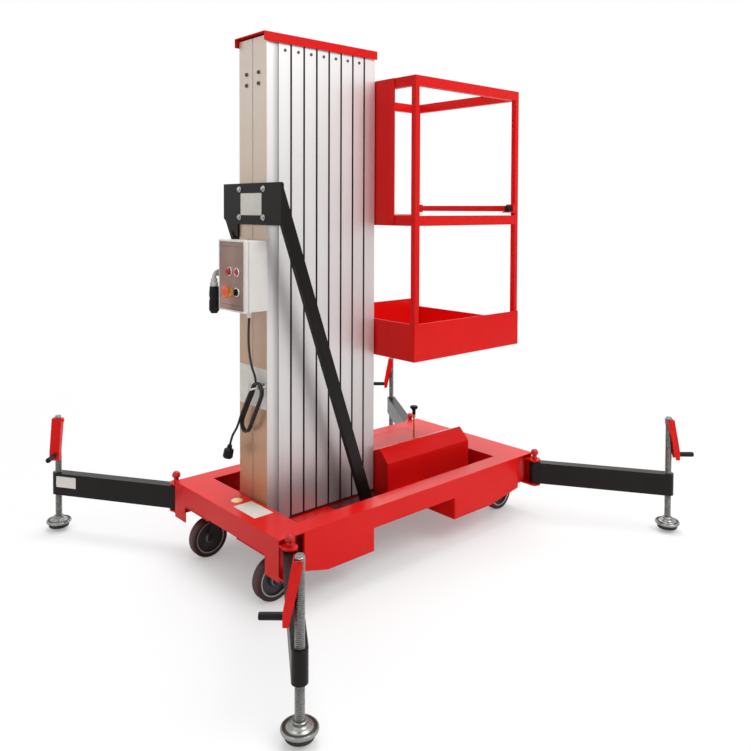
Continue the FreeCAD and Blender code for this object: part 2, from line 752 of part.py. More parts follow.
def moving_section(count):
    """A moving section: rails on its near face, slots for the next one on its far face."""
    last = count == MOVING + 1
    body = body_with(f"mast_section_{count}_body")
    sketch = sketch_on(body, "xy", f"mast_section_{count}_outline")
    edge = SECTION_EDGE
    outline = [("0", f"-({edge})"), ("stage_depth", f"-({edge})")]
    if not last:
        for middle in SLOT_MIDDLES:
            outline += slot("stage_depth", middle)
    outline += [("stage_depth", edge), ("0", edge)]
    for middle in reversed(SLOT_MIDDLES):
        outline += rail(middle)
    draw(sketch, outline)
    chambers(
        sketch, "stage_wall", "stage_depth - slot_lip - slot_deep - stage_wall", "mast_width / 2 - stage_wall"
    )
    top = "cap_top - cap_sheet" if last else "stage_top"
    pad(body, sketch, f"{top} - bed_top - stage_lift", f"mast_section_{count}_pad")
    start = f"mast_start + outer_depth + stage_gap + {count - 2} * stage_pitch"
    place(body, start, "0", "bed_top + stage_lift")
    return node(f"mast_section_{count}", body)


def mast_cap():
    half = "mast_width / 2 + cap_play + cap_sheet"
    start, end = "mast_start - cap_over", "mast_end + cap_front"
    top = box("cap_roof", (start, f"-({half})", "cap_top - cap_sheet"), (end, half, "cap_top"))
    side = box(
        "cap_side", (start, f"-({half})", "cap_top - cap_drop"), (end, f"cap_sheet - ({half})", "cap_top")
    )
    return node("mast_cap", fuse("mast_cap_solid", top, both_sides("cap_sides", side)))


# Basket: carrier plate, kick boards with the floor, tube frame and gate bar
BACK = "basket_start"
FRONT = "basket_start + basket_length"
SIDE = "basket_width / 2"


def carrier():
    inner = f"{BACK} + basket_sheet"
    plate = box(
        "carrier_sheet_part",
        (f"{inner} - carrier_sheet", "-carrier_width / 2", "mid_rail - rail_high"),
        (inner, "carrier_width / 2", "top_rail"),
    )
    mounting = both_sides(
        "carrier_pads",
        box(
            "carrier_pad",
            ("mast_end", "bracket_edge - mast_width / 2", "mid_rail - rail_high + bracket_end"),
            (
                f"{inner} - carrier_sheet",
                "bracket_edge + bracket_width - mast_width / 2",
                "top_rail - bracket_end",
            ),
        ),
    )
    low = both_sides(
        "tray_pads",
        box(
            "tray_pad",
            ("mast_end", "bracket_edge - mast_width / 2", "basket_bottom + floor_rise"),
            (
                BACK,
                "bracket_edge + bracket_width - mast_width / 2",
                "basket_bottom + kick_height - bracket_edge",
            ),
        ),
    )
    return node("carrier_plate", fuse("carrier_solid", plate, mounting, low))


def kick_boards():
    bottom, top = "basket_bottom", "basket_bottom + kick_height"
    near = box("kick_near", (BACK, f"-({SIDE})", bottom), (FRONT, f"basket_sheet - {SIDE}", top))
    floor = "basket_bottom + floor_rise"
    ribs = []
    for count in range(3):
        at = f"{BACK} + rib_inset + {count} * (basket_length / 2 - rib_inset)"
        ribs.append(
            box(
                f"floor_rib_{count + 1}",
                (f"{at} - rib_width / 2", f"basket_sheet / 2 - {SIDE}", bottom),
                (f"{at} + rib_width / 2", f"{SIDE} - basket_sheet / 2", floor),
            )
        )
    pieces = [
        both_sides("kick_sides", near),
        box("kick_back", (BACK, f"-({SIDE})", bottom), (f"{BACK} + basket_sheet", SIDE, top)),
        box(
            "kick_entry",
            (f"{FRONT} - basket_sheet", f"-({SIDE})", bottom),
            (FRONT, SIDE, "basket_bottom + entry_kick"),
        ),
        box("basket_floor", (BACK, f"-({SIDE})", f"{floor} - basket_sheet"), (FRONT, SIDE, floor)),
        *ribs,
    ]
    return node("basket_tray", fuse("basket_tray_solid", *pieces))


def tube(name, low, high, run):
    """A square tube's outside and its inside, the inside longer than the tube along its run."""
    outside = box(name, low, high)
    inner_low = []
    inner_high = []
    for axis, start, end in zip("xyz", low, high):
        if axis in run:
            inner_low.append(f"({start}) + {run[axis][0]}")
            inner_high.append(f"({end}) - {run[axis][1]}")
        else:
            inner_low.append(f"({start}) + tube_wall")
            inner_high.append(f"({end}) - tube_wall")
    return outside, box(name + "_inside", inner_low, inner_high)


def basket_frame():
    """Four posts, a ring of top rails and middle rails on three sides, hollow inside."""
    back = f"{BACK} + basket_sheet"
    front = f"{FRONT} - basket_sheet"
    side = f"{SIDE} - basket_sheet"
    foot = "basket_bottom + floor_rise"
    bars = []
    for end, start, stop in (("back", back, f"{back} + post_size"), ("front", f"{front} - post_size", front)):
        low = (start, f"-({side})", foot)
        high = (stop, f"post_size - ({side})", "top_rail")
        bars.append(tube(f"{end}_post", low, high, {"z": ("-1", "tube_wall")}))
    for level in ("top_rail", "mid_rail"):
        low = (back, f"-({side})", f"{level} - rail_high")
        high = (front, f"post_size - ({side})", level)
        bars.append(tube(f"{level}_side", low, high, {"x": ("tube_wall", "tube_wall")}))
        low = (back, f"-({side})", f"{level} - rail_high")
        high = (f"{back} + post_size", side, level)
        bars.append(tube(f"{level}_back", low, high, {"y": ("tube_wall", "tube_wall")}))
    low = (f"{front} - post_size", f"-({side})", "top_rail - rail_high")
    high = (front, side, "top_rail")
    bars.append(tube("top_rail_entry", low, high, {"y": ("tube_wall", "tube_wall")}))
    outside = both_sides("frame_outside", fuse("frame_bars", *[bar[0] for bar in bars]))
    inside = both_sides("frame_inside", fuse("frame_hollows", *[bar[1] for bar in bars]))
    lugs = gate_lugs(f"{front} - post_size", side)
    return node("basket_frame", fuse("basket_frame_solid", cut("frame_tubes", outside, inside), *lugs))


def gate_lugs(face, side):
    """The gate bar's hinge lug on the left post and its rest on the right post."""
    low, high = "bar_low", "bar_low + gate_size"
    back = f"{face} - lug_thick - gate_play - gate_size"
    pivot = (f"{back} - gate_pin_end", "gate_pivot", f"{low} + gate_size / 2")
    lug = box(
        "gate_lug",
        (f"{face} - lug_thick", "gate_pivot - gate_size / 2", f"{low} - lug_margin"),
        (face, side, f"{high} + lug_margin"),
    )
    pin = cylinder("gate_pin", "gate_pin", "gate_pin_end + gate_size + gate_play + lug_thick + 1", pivot, "x")
    head = cylinder("gate_pin_head", "gate_pin + 4", "gate_pin_end - gate_play", pivot, "x")
    under = f"{low} - gate_play"
    edge = f"post_size + rest_over - ({side})"
    rest = box("gate_rest", (back, f"-({side})", f"{under} - lug_thick"), (face, edge, under))
    stop = box(
        "gate_rest_back",
        (f"{face} - lug_thick", f"-({side})", f"{under} - lug_thick"),
        (face, edge, f"{high} + lug_margin"),
    )
    return [lug, pin, head, rest, stop]


def gate_bar():
    face = f"{FRONT} - basket_sheet - post_size - lug_thick - gate_play"
    tip = f"basket_sheet + 4 - {SIDE}"
    bar = box(
        "gate_tube",
        (f"{face} - gate_size", tip, "bar_low"),
        (face, "gate_pivot + gate_size / 2", "bar_low + gate_size"),
    )
    pivot = (f"{face} - 1.5 * gate_size", "gate_pivot", "bar_low + gate_size / 2")
    hole = cylinder("gate_hole", "gate_pin + pin_play", "2 * gate_size", pivot, "x")
    return node("gate_bar", cut("gate_bar_solid", bar, hole))


# Brace: a plate behind the mast and two struts down to the tray
def brace():
    start = "mast_start - brace_thick"
    edge = "mast_width / 2"
    half = [
        ("brace_half", "brace_top"),
        ("brace_half", "brace_wing"),
        (f"{edge} + wing_flat", "brace_tip"),
        (f"{edge} + touch_play", "brace_tip"),
        (f"{edge} + touch_play", "brace_middle"),
    ]
    outline = half + [(f"-({across})", up) for across, up in reversed(half)]
    plate = prism("brace_sheet", "yz", outline, start, "mast_start")
    cheek = box(
        "brace_cheek",
        (start, f"-({edge}) - brace_thick - touch_play", "brace_middle"),
        ("mast_start + cheek_length", f"-({edge}) - touch_play", "brace_top"),
    )
    node("brace_plate", fuse("brace_solid", plate, both_sides("brace_cheeks", cheek)))
    top, high = "mast_start", "brace_top - strut_drop"
    far = "strut_foot - half_l"
    foot = "wall_bottom + plate + strut_pad"
    slope = f"(({far}) - ({top})) / ({high} - ({foot}))"
    outline = [
        (top, high),
        (far, foot),
        (f"{far} - strut_wide", foot),
        (top, f"{high} - strut_wide / ({slope})"),
    ]
    for name, middle in (("strut_right", "-strut_middle"), ("strut_left", "strut_middle")):
        bar = prism(
            name + "_bar", "xz", outline, f"{middle} - strut_thick / 2", f"{middle} + strut_thick / 2"
        )
        node(name, bar)


# Power pack: folded cover, motor and tank as plain blocks, lowering valve
def power_pack():
    start = "mast_end + cover_start"
    end = f"{start} + cover_length"
    floor = "wall_bottom + plate"
    pan = "apron_bottom"
    shell = [
        ("cover_near", floor),
        ("cover_near", "cover_fold"),
        ("cover_ridge_at", "cover_ridge"),
        ("cover_far", "cover_eave"),
        ("cover_far", floor),
    ]
    inner = [
        ("cover_near + cover_sheet", f"{floor} - cover_sheet"),
        ("cover_near + cover_sheet", "cover_fold - cover_sheet / 2"),
        ("cover_ridge_at", "cover_ridge - 1.4 * cover_sheet"),
        ("cover_far - cover_sheet", "cover_eave - cover_sheet"),
        ("cover_far - cover_sheet", f"{floor} - cover_sheet"),
    ]
    outside = prism("cover_outside", "yz", shell, start, end)
    inside = prism("cover_inside", "yz", inner, f"{start} + cover_sheet", f"{end} - cover_sheet")
    node("power_cover", cut("power_cover_solid", outside, inside))
    middle = "(cover_near + cover_far) / 2"
    motor_start = (f"{start} + motor_start", middle, f"{floor} + motor_radius")
    motor = cylinder("pump_motor", "motor_radius", "motor_length", motor_start, "x")
    tank_start = "tunnel_end - half_l + unit_play"
    tank = box(
        "oil_tank",
        (tank_start, "cover_near + unit_play", pan),
        (f"{tank_start} + tank_length", "cover_far - unit_play", "cover_eave - unit_play"),
    )
    bridge = box(
        "pump_block",
        (f"{start} + pump_start", f"{middle} - pump_half", floor),
        (f"{tank_start} + unit_play", f"{middle} + pump_half", "cover_eave - pump_drop"),
    )
    valve_top = "deck_top - valve_drop"
    valve = box(
        "valve_block",
        ("valve_x - valve_half", "valve_y - valve_half", pan),
        ("valve_x + valve_half", "valve_y + valve_half", valve_top),
    )
    channel = box(
        "valve_channel",
        ("valve_x - valve_half", "cover_far - 2 * unit_play", pan),
        ("valve_x + valve_half / 2", "valve_y", f"{pan} + valve_pipe"),
    )
    node("power_unit", fuse("power_unit_solid", motor, tank, bridge, valve, channel))
    knob = "deck_top + valve_rise - valve_head"
    stem = cylinder("valve_stem", "valve_stem", f"{knob} - ({valve_top})", ("valve_x", "valve_y", valve_top))
    cup = cone(
        "valve_cup",
        "valve_stem + 3",
        "valve_knob",
        "valve_cup",
        ("valve_x", "valve_y", f"{knob} - valve_cup"),
    )
    head = cylinder("valve_head", "valve_knob", "valve_head", ("valve_x", "valve_y", knob))
    node("lowering_knob", fuse("lowering_knob_solid", stem, cup, head))


# Controls: box, buttons, stop button and the socket at its side
def controls():
    back = "mast_start - box_bracket"
    front = f"{back} - box_depth"
    low, high = "box_middle - box_width / 2", "box_middle + box_width / 2"
    body = body_with("control_box_body")
    sketch = sketch_on(body, "yz", "control_box_outline")
    draw(
        sketch,
        [
            ("-box_width / 2", "0"),
            ("box_width / 2", "0"),
            ("box_width / 2", "box_height"),
            ("-box_width / 2", "box_height"),
        ],
    )
    pad(body, sketch, "box_depth", "control_box_pad")
    place(body, front, "box_middle", "box_bottom")
    bracket = box(
        "box_bracket_plate",
        (back, "bracket_near", "box_bottom + bracket_inset"),
        ("mast_start", "bracket_far", "box_bottom + box_height - bracket_inset"),
    )
    node("control_box", fuse("control_box_solid", body, bracket))
    caps = []
    places = (
        ("button_far", "button_upper"), ("button_near", "button_upper"), ("button_near", "button_lower")
    )
    for count, (aside, level) in enumerate(places, 1):
        y, z = f"box_middle + {aside}", f"box_bottom + {level}"
        bezel = cylinder(
            f"button_bezel_{count}", "button_radius", "bezel_thick", (f"{front} - bezel_thick", y, z), "x"
        )
        cap_start = (f"{front} - button_reach", y, z)
        head = cylinder(f"button_head_{count}", "button_radius - button_step", "button_reach", cap_start, "x")
        caps.append(fuse(f"button_{count}", bezel, head))
    node("control_buttons", fuse("control_buttons_solid", *caps))
    y, z = "box_middle + button_far", "box_bottom + button_lower"
    collar = cylinder("stop_collar", "stop_radius", "stop_collar", (f"{front} - stop_collar", y, z), "x")
    neck = cylinder(
        "stop_neck",
        "stop_neck",
        "stop_reach - stop_head / 2",
        (f"{front} - stop_reach + stop_head / 2", y, z),
        "x",
    )
    head = cone(
        "stop_head", "stop_radius - 3", "stop_radius", "stop_head", (f"{front} - stop_reach", y, z), "x"
    )
    node("stop_button", fuse("stop_button_solid", collar, neck, head))
    at = f"{front} + socket_x"
    out = f"{high} + socket_nipple + socket_bend"
    level = "box_bottom + socket_level"
    nipple = cylinder("socket_nipple", "socket_pipe + 1", "socket_nipple + 1", (at, high, level), "y")
    bend = doc.addObject("Part::Torus", "socket_bend")
    bend.setExpression("Radius1", formula("socket_bend"))
    bend.setExpression("Radius2", formula("socket_pipe"))
    bend.Angle3 = 90
    bend.Placement.Rotation = FreeCAD.Rotation(V(0, 1, 0), -90)
    place(bend, at, f"{high} + socket_nipple", f"{level} - socket_bend")
    barrel_top = "box_bottom + socket_foot + socket_barrel"
    barrel = cylinder(
        "socket_barrel", "socket_radius", "socket_barrel", (at, out, "box_bottom + socket_foot")
    )
    taper = cone("socket_taper", "socket_radius", "socket_pipe + 2", "socket_taper", (at, out, barrel_top))
    stub_low = f"{barrel_top} + socket_taper / 2"
    stub = cylinder(
        "socket_stub", "socket_pipe + 1.5", f"{level} - socket_bend + 4 - ({stub_low})", (at, out, stub_low)
    )
    node("side_socket", fuse("side_socket_solid", nipple, bend, stub, taper, barrel))


# Power cord: gland, straight part, hank on its hook, tail and plug. Along x, its points are measured from the
# mast's first face.
CORD_ROUTE = [(-35, -29, 957), (-36, -25, 900), (-35, -25, 840), (-28, -32, 778), (-19, -50, 718)]
TAIL_ROUTE = [(-30, 43.6, 537), (-36.5, 65, 521.5), (-45, 77, 496), (-50, 80, 467)]
HANK_X = -25
HANK = [
    (-62, 718), (-36, 692), (-8, 655), (18, 605), (44, 562), (48, 545), (38, 530), (16, 522),
    (-14, 530), (-38, 556), (-56, 605), (-74, 662), (-100, 690), (-107, 708), (-99, 722), (-80, 728),
]


def tube_along(name, route):
    """A round tube along straight runs joined by tangent arcs, as large as the runs allow."""
    corners = [V(*point) for point in route]
    radius = number("cord_radius")
    edges = []
    start = corners[0]
    length = 0
    for before, corner, after in zip(corners, corners[1:], corners[2:]):
        came, goes = (corner - before), (after - corner)
        short = min(came.Length, goes.Length)
        half = came.getAngle(goes) / 2
        bend = 0.45 * short / math.tan(half)
        came.normalize()
        goes.normalize()
        enter, leave = corner - came * 0.45 * short, corner + goes * 0.45 * short
        inward = (goes - came).normalize()
        centre = corner + inward * (bend / math.cos(half))
        middle = centre - inward * bend
        edges += [Part.LineSegment(start, enter).toShape(), Part.Arc(enter, middle, leave).toShape()]
        length += (enter - start).Length + bend * 2 * half
        start = leave
        print(f"{name}: bend radius {bend:.0f} mm")
    edges.append(Part.LineSegment(start, corners[-1]).toShape())
    length += (corners[-1] - start).Length
    path = Part.Wire(edges)
    ring_edge = Part.makeCircle(radius, corners[0], corners[1] - corners[0])
    solid = path.makePipeShell([Part.Wire([ring_edge])], True, True)
    expected = math.pi * radius**2 * length
    print(f"{name}: length {length:.0f} mm, volume {solid.Volume:.0f} of {expected:.0f}")
    item = doc.addObject("Part::Feature", name + "_tube")
    item.Shape = solid
    return node(name, item)


def cord():
    x, y, z = CORD_ROUTE[0]
    x = f"mast_start + ({x})"
    gland = [
        cylinder("gland_body", "cord_radius + 6.5", "14", (x, y, "box_bottom - 14")),
        cone("gland_nose", "cord_radius + 2", "cord_radius + 5.5", "14", (x, y, z)),
    ]
    node("cord_gland", fuse("cord_gland_solid", *gland))
    face = number("mast_start")
    route = [(face + x, y, z) for x, y, z in CORD_ROUTE]
    tail = [(face + x, y, z) for x, y, z in TAIL_ROUTE]
    tube_along("power_cord", route)
    tube_along("power_cord_tail", tail)
    outline = [(str(across), str(up)) for across, up in HANK]
    body = body_with("cord_hank_body")
    sketch = sketch_on(body, "yz", "cord_hank_outline", f"mast_start + ({HANK_X})")
    draw(sketch, outline)
    ring(sketch, "hook_rod + 2", "hook_y", "hook_z - 1.7")
    pad(body, sketch, "hank_thick", "cord_hank_pad", True)
    node("cord_hank", body)
    rod = cylinder("hook_bar", "hook_rod", "hook_reach", ("mast_start - hook_reach", "hook_y", "hook_z"), "x")
    tip = cylinder(
        "hook_tip",
        "hook_rod",
        "hook_tip",
        ("mast_start - hook_reach + hook_rod", "hook_y", "hook_z - hook_rod"),
    )
    base_start = ("mast_start - hook_base_thick", "hook_y + hook_base_y", "hook_z")
    base = cylinder("hook_base", "hook_base", "hook_base_thick", base_start, "x")
    node("cord_hook", fuse("cord_hook_solid", rod, tip, base))
    plug = body_with("cord_plug_body")
    sketch = sketch_on(plug, "xz", "cord_plug_outline")
    draw(
        sketch,
        [("0", "0"), ("8", "0"), ("10", "-12"), ("18", "-18"), ("19", "-44"), ("15", "-50"), ("0", "-50")],
    )
    turned(plug, sketch, "cord_plug_turn")
    end = V(*tail[-1])
    plug.Placement = FreeCAD.Placement(end, FreeCAD.Rotation(V(0, 0, -1), end - V(*tail[-2])))
    node("cord_plug", plug)


# Legs: swinging tubes with a screw jack and a folding crank at each tip
LEGS = (
    ("rear_right", "-1", "-1", 180, 1, 138),
    ("rear_left", "-1", "1", 180, -1, 228),
    ("front_right", "1", "-1", 0, -1, -42),
    ("front_left", "1", "1", 0, 1, 138),
)


def legs():
    """Columns: name, end, side, base azimuth, sense of the leg's angle, azimuth of the crank."""
    pins = []
    for name, end, side, base, sense, crank in LEGS:
        x = f"{end} * (half_l - leg_inset)"
        y = f"{side} * (half_w + leg_outset)"
        azimuth = f"{base} + {sense} * leg_angle"
        leg(name, x, y, azimuth)
        tip_x = f"{x} + {end} * leg_reach * cos(leg_angle * 1 deg)"
        tip_y = f"{y} + {side} * leg_reach * sin(leg_angle * 1 deg)"
        jack(name, tip_x, tip_y, crank)
        handle(name, tip_x, tip_y, crank)
        pins.append(pin(name, x, y))
    return node("leg_pins", fuse("leg_pins_solid", *pins))


def leg(name, x, y, azimuth):
    """A tube with a half round at each end, bored for its pin and its screw."""
    low, high = "leg_bottom - leg_wall", "leg_height + 2 * leg_wall"
    beam = box(
        f"{name}_beam", ("0", "-leg_width / 2", "leg_bottom"), ("leg_reach", "leg_width / 2", "leg_top")
    )
    eye = cylinder(f"{name}_eye", "leg_width / 2", "leg_height", ("0", "0", "leg_bottom"))
    tip = cylinder(f"{name}_tip", "leg_width / 2", "leg_height", ("leg_reach", "0", "leg_bottom"))
    hollow = box(
        f"{name}_hollow",
        ("leg_width / 2 + leg_wall", "leg_wall - leg_width / 2", "leg_bottom + leg_wall"),
        ("leg_reach - nut_radius", "leg_width / 2 - leg_wall", "leg_top - leg_wall"),
    )
    drain = cylinder(f"{name}_drain", "leg_drain", "3 * leg_wall", ("leg_reach - drain_inset", "0", low))
    pivot = cylinder(f"{name}_pivot_bore", "pin_radius + pin_play", high, ("0", "0", low))
    thread = cylinder(f"{name}_screw_bore", "screw_radius + pin_play", high, ("leg_reach", "0", low))
    item = cut(f"{name}_leg_solid", fuse(f"{name}_leg_blank", beam, eye, tip), hollow, drain, pivot, thread)
    turn_body(item, azimuth, x, y)
    return node(f"leg_{name}", item)


def jack(name, x, y, azimuth):
    """Rubber pad, pressed cup, collar and screw in one piece, with a cross bore for the crank's bolt."""
    body = body_with(f"{name}_jack_body")
    sketch = sketch_on(body, "xz", f"{name}_jack_outline")
    outline = [
        ("0", "foot_clear"),
        ("pad_radius", "foot_clear"),
        ("pad_radius", "cup_low"),
        ("foot_radius", "cup_low"),
        ("foot_radius", "cup_low + foot_rim"),
        ("foot_dish", "neck_low - foot_rim / 4"),
        ("neck_radius", "neck_low"),
        ("neck_radius", "neck_low + neck_height"),
        ("screw_radius", "neck_low + neck_height"),
        ("screw_radius", "jack_top - screw_chamfer"),
        ("screw_radius - screw_chamfer", "jack_top"),
        ("0", "jack_top"),
    ]
    draw(sketch, outline)
    turned(body, sketch, f"{name}_jack_turn")
    bore_start = ("0", "-2 * screw_radius", "crank_bolt")
    bore = cylinder(f"{name}_bolt_bore", "bolt_radius + pin_play", "4 * screw_radius", bore_start, "y")
    item = cut(f"{name}_jack_solid", body, bore)
    turn_body(item, str(azimuth), x, y)
    return node(f"jack_{name}", item)


def handle(name, x, y, azimuth):
    """A folded channel on a bolt through the top of the screw, and the grip at its lower end."""
    web = [
        ("crank_near", "crank_bolt + crank_over"),
        ("crank_far", "crank_bend"),
        ("crank_far", "crank_low"),
        ("crank_far - crank_sheet", "crank_low"),
        ("crank_far - crank_sheet", "crank_bend"),
        ("crank_near - crank_sheet", "crank_bolt + crank_over"),
    ]
    cheek = [
        ("-crank_back", "crank_bolt + crank_over"),
        *web[:3],
        ("crank_far - crank_lip", "crank_low"),
        ("-crank_back", "crank_bolt - crank_heel"),
    ]
    pieces = [prism(f"{name}_web", "xz", web, "-crank_half", "crank_half")]
    for side, start in (("near", "-crank_half"), ("far", "crank_half - crank_sheet")):
        pieces.append(prism(f"{name}_{side}_cheek", "xz", cheek, start, f"{start} + crank_sheet"))
    reach = "crank_half + bolt_over"
    pieces.append(
        cylinder(f"{name}_bolt", "bolt_radius", f"2 * ({reach})", ("0", f"-({reach})", "crank_bolt"), "y")
    )
    channel = fuse(f"{name}_crank_solid", *pieces)
    turn_body(channel, str(azimuth), x, y)
    node(f"crank_{name}", channel)
    body = body_with(f"{name}_grip_body")
    sketch = sketch_on(body, "xz", f"{name}_grip_outline")
    start, end = "crank_far", "crank_far + grip_length"
    outline = [
        (start, "grip_bore"),
        (end, "grip_bore"),
        (end, "grip_radius - grip_round"),
        (f"{end} - grip_round", "grip_radius"),
        (f"{start} + grip_round", "grip_radius"),
        (start, "grip_radius - grip_round"),
    ]
    draw(sketch, outline)
    turned(body, sketch, f"{name}_grip_turn", "H_Axis")
    turn_body(body, str(azimuth), x, y, "grip_level")
    return node(f"grip_{name}", body)


def pin(name, x, y):
    """A pivot pin with two washers and a round knob over the upper ear."""
    low = "leg_bottom - ear_play - ear_thick - pin_over"
    over = "leg_top + ear_play + ear_thick"
    shaft = cylinder(f"{name}_pin_shaft", "pin_radius", f"{over} - ({low})", (x, y, low))
    neck = cylinder(f"{name}_pin_neck", "knob_neck_radius", "knob_neck", (x, y, over))
    cup_low = f"{over} + knob_neck"
    cup = cone(f"{name}_knob_cup", "knob_neck_radius", "knob_radius", "knob_cup", (x, y, cup_low))
    rim = cylinder(f"{name}_knob_rim", "knob_radius", "knob_rim", (x, y, f"{cup_low} + knob_cup"))
    dome = doc.addObject("Part::Sphere", f"{name}_knob_dome")
    dome.setExpression("Radius", formula("knob_radius"))
    dome.Angle1 = 0
    place(dome, x, y, f"{cup_low} + knob_cup + knob_rim")
    washers = []
    for level, at in (("low", "leg_bottom - ear_play"), ("high", "leg_top")):
        start = (x, y, f"{at} + pin_play")
        washers.append(cylinder(f"{name}_washer_{level}", "washer_radius", "ear_play - 2 * pin_play", start))
    return fuse(f"{name}_pin_solid", shaft, neck, cup, rim, dome, *washers)


# Casters: swivel forks at the mast's end, fixed forks at the basket's end, four wheels
def cheek_outline(axle, crown):
    """The cheek of a fork, from the crown down to the axle."""
    top = "crown_bottom + crown_thick"
    low = "wheel_radius - cheek_tip"
    return [
        (f"{crown} - crown_half", top),
        (f"{axle} - cheek_half", "wheel_radius"),
        (f"{axle} - cheek_nose", low),
        (f"{axle} + cheek_nose", low),
        (f"{axle} + cheek_half", "wheel_radius"),
        (f"{crown} + crown_half", top),
    ]


def fork(name, y, axle, crown, top):
    """Two cheeks, a crown and the axle, from the crown's middle and the axle's place along X."""
    gap = "wheel_width / 2 + fork_play"
    pieces = []
    for side in ("-1", "1"):
        start = f"{y} + {side} * ({gap} + fork_sheet / 2) - fork_sheet / 2"
        pieces.append(
            prism(f"{name}_cheek_{side}", "xz", cheek_outline(axle, crown), start, f"{start} + fork_sheet")
        )
        start = f"{y} + {side} * ({gap} + fork_sheet + nut_thick / 2) - nut_thick / 2"
        nut = (axle, start, "wheel_radius")
        pieces.append(cylinder(f"{name}_nut_{side}", "axle_radius + nut_over", "nut_thick", nut, "y"))
    pieces.append(
        box(
            f"{name}_crown",
            (f"{crown} - crown_half", f"{y} - ({gap}) - fork_sheet", "crown_bottom"),
            (f"{crown} + crown_half", f"{y} + {gap} + fork_sheet", "crown_bottom + crown_thick"),
        )
    )
    reach = f"{gap} + fork_sheet + nut_thick"
    pieces.append(
        cylinder(
            f"{name}_axle", "axle_radius", f"2 * ({reach})", (axle, f"{y} - ({reach})", "wheel_radius"), "y"
        ),
    )
    return pieces + top


def swivel_fork(name, y):
    axle = "wheel_inset - half_l"
    crown = f"{axle} + caster_trail"
    over = "crown_bottom + crown_thick"
    race = f"caster_plate_top - plate - pin_play - ({over})"
    top = [
        cylinder(f"{name}_race", "race_radius", race, (crown, y, over)),
        cylinder(f"{name}_stem", "stem_radius", f"caster_plate_top + stem_over - ({over})", (crown, y, over)),
        cylinder(f"{name}_nut", "stem_nut", "stem_nut_thick", (crown, y, "caster_plate_top + pin_play")),
    ]
    return node(name, fuse(name + "_solid", *fork(name, y, axle, crown, top)))


def fixed_fork(name, y):
    axle = "half_l - wheel_inset"
    riser = box(
        f"{name}_riser",
        (f"{axle} - riser_half", f"{y} - riser_side", "crown_bottom + crown_thick"),
        (f"{axle} + riser_half", f"{y} + riser_side", "caster_plate_top - plate"),
    )
    return fuse(name + "_solid", *fork(name, y, axle, axle, [riser]))


def wheel(name, x, y):
    """A hub with a polyurethane tread."""
    half = "wheel_width / 2"
    rim = "wheel_radius - tread_thick"
    body = body_with(f"{name}_tread_body")
    sketch = sketch_on(body, "yz", f"{name}_tread_outline")
    outline = [
        (f"1 - {half}", rim),
        (f"{half} - 1", rim),
        (half, "wheel_radius - 7"),
        (f"{half} - 3", "wheel_radius - 2"),
        (f"{half} - 9", "wheel_radius"),
        (f"9 - {half}", "wheel_radius"),
        (f"3 - {half}", "wheel_radius - 2"),
        (f"-({half})", "wheel_radius - 7"),
    ]
    draw(sketch, outline)
    turned(body, sketch, f"{name}_tread_turn", "H_Axis")
    place(body, x, y, "wheel_radius")
    node(f"{name}_tread", body)
    hub = body_with(f"{name}_hub_body")
    sketch = sketch_on(hub, "yz", f"{name}_hub_outline")
    right = [
        (f"{half} + 2", "axle_radius + pin_play"),
        (f"{half} + 2", "hub_radius - 3"),
        (f"{half}", "hub_radius"),
        ("6", "hub_radius + 5"),
        ("6", f"{rim} - 8"),
        (f"{half} - 3", f"{rim} - 5"),
        (f"{half} - 3", rim),
    ]
    left = [(f"-({across})", radius) for across, radius in reversed(right)]
    draw(sketch, right + left)
    turned(hub, sketch, f"{name}_hub_turn", "H_Axis")
    place(hub, x, y, "wheel_radius")
    node(f"{name}_hub", hub)


def casters():
    fixed = []
    for side, y in (("right", "-wheel_track / 2"), ("left", "wheel_track / 2")):
        swivel_fork(f"swivel_fork_{side}", y)
        fixed.append(fixed_fork(f"fixed_fork_{side}", y))
        wheel(f"rear_wheel_{side}", "wheel_inset - half_l", y)
        wheel(f"front_wheel_{side}", "half_l - wheel_inset", y)
    return node("fixed_forks", fuse("fixed_forks_solid", *fixed))


def cylinder_foot():
    start = ("mast_deck + foot_boss_radius - half_l", "0", "apron_bottom - plate - foot_boss_height")
    return cylinder("foot_boss", "foot_boss_radius", "foot_boss_height", start)


tray()
outer_section()
for count in range(2, MOVING + 2):
    moving_section(count)
mast_cap()
carrier()
kick_boards()
basket_frame()
gate_bar()
brace()
power_pack()
controls()
cord()
legs()
casters()
doc.recompute()


def faults():
    """Failed objects, and pieces with no sound solid."""
    found = []
    for item in doc.Objects:
        if "Invalid" in item.State or "Error" in item.State:
            found.append(f"{item.Name}: {item.State}")
    for name, item in NODES:
        if item.Shape.isNull() or not item.Shape.isValid() or not item.Shape.Solids:
            found.append(f"{name}: no sound solid")
    return found


problems = faults()
if problems:
    raise SystemExit("\n".join(problems))
os.makedirs("parts", exist_ok=True)
for name, item in NODES:
    item.Shape.exportStep(f"parts/{name}.step")
    print(f"{name}: {len(item.Shape.Solids)} solid, {item.Shape.Volume / 1000:.1f} cm3")
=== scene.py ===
"""Looks of a vertical mast lift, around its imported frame.

Metres. The frame's origin is on the floor under the middle of the tray, +X points to the basket's end.
"""
import math

import bpy
from mathutils import Matrix, Vector


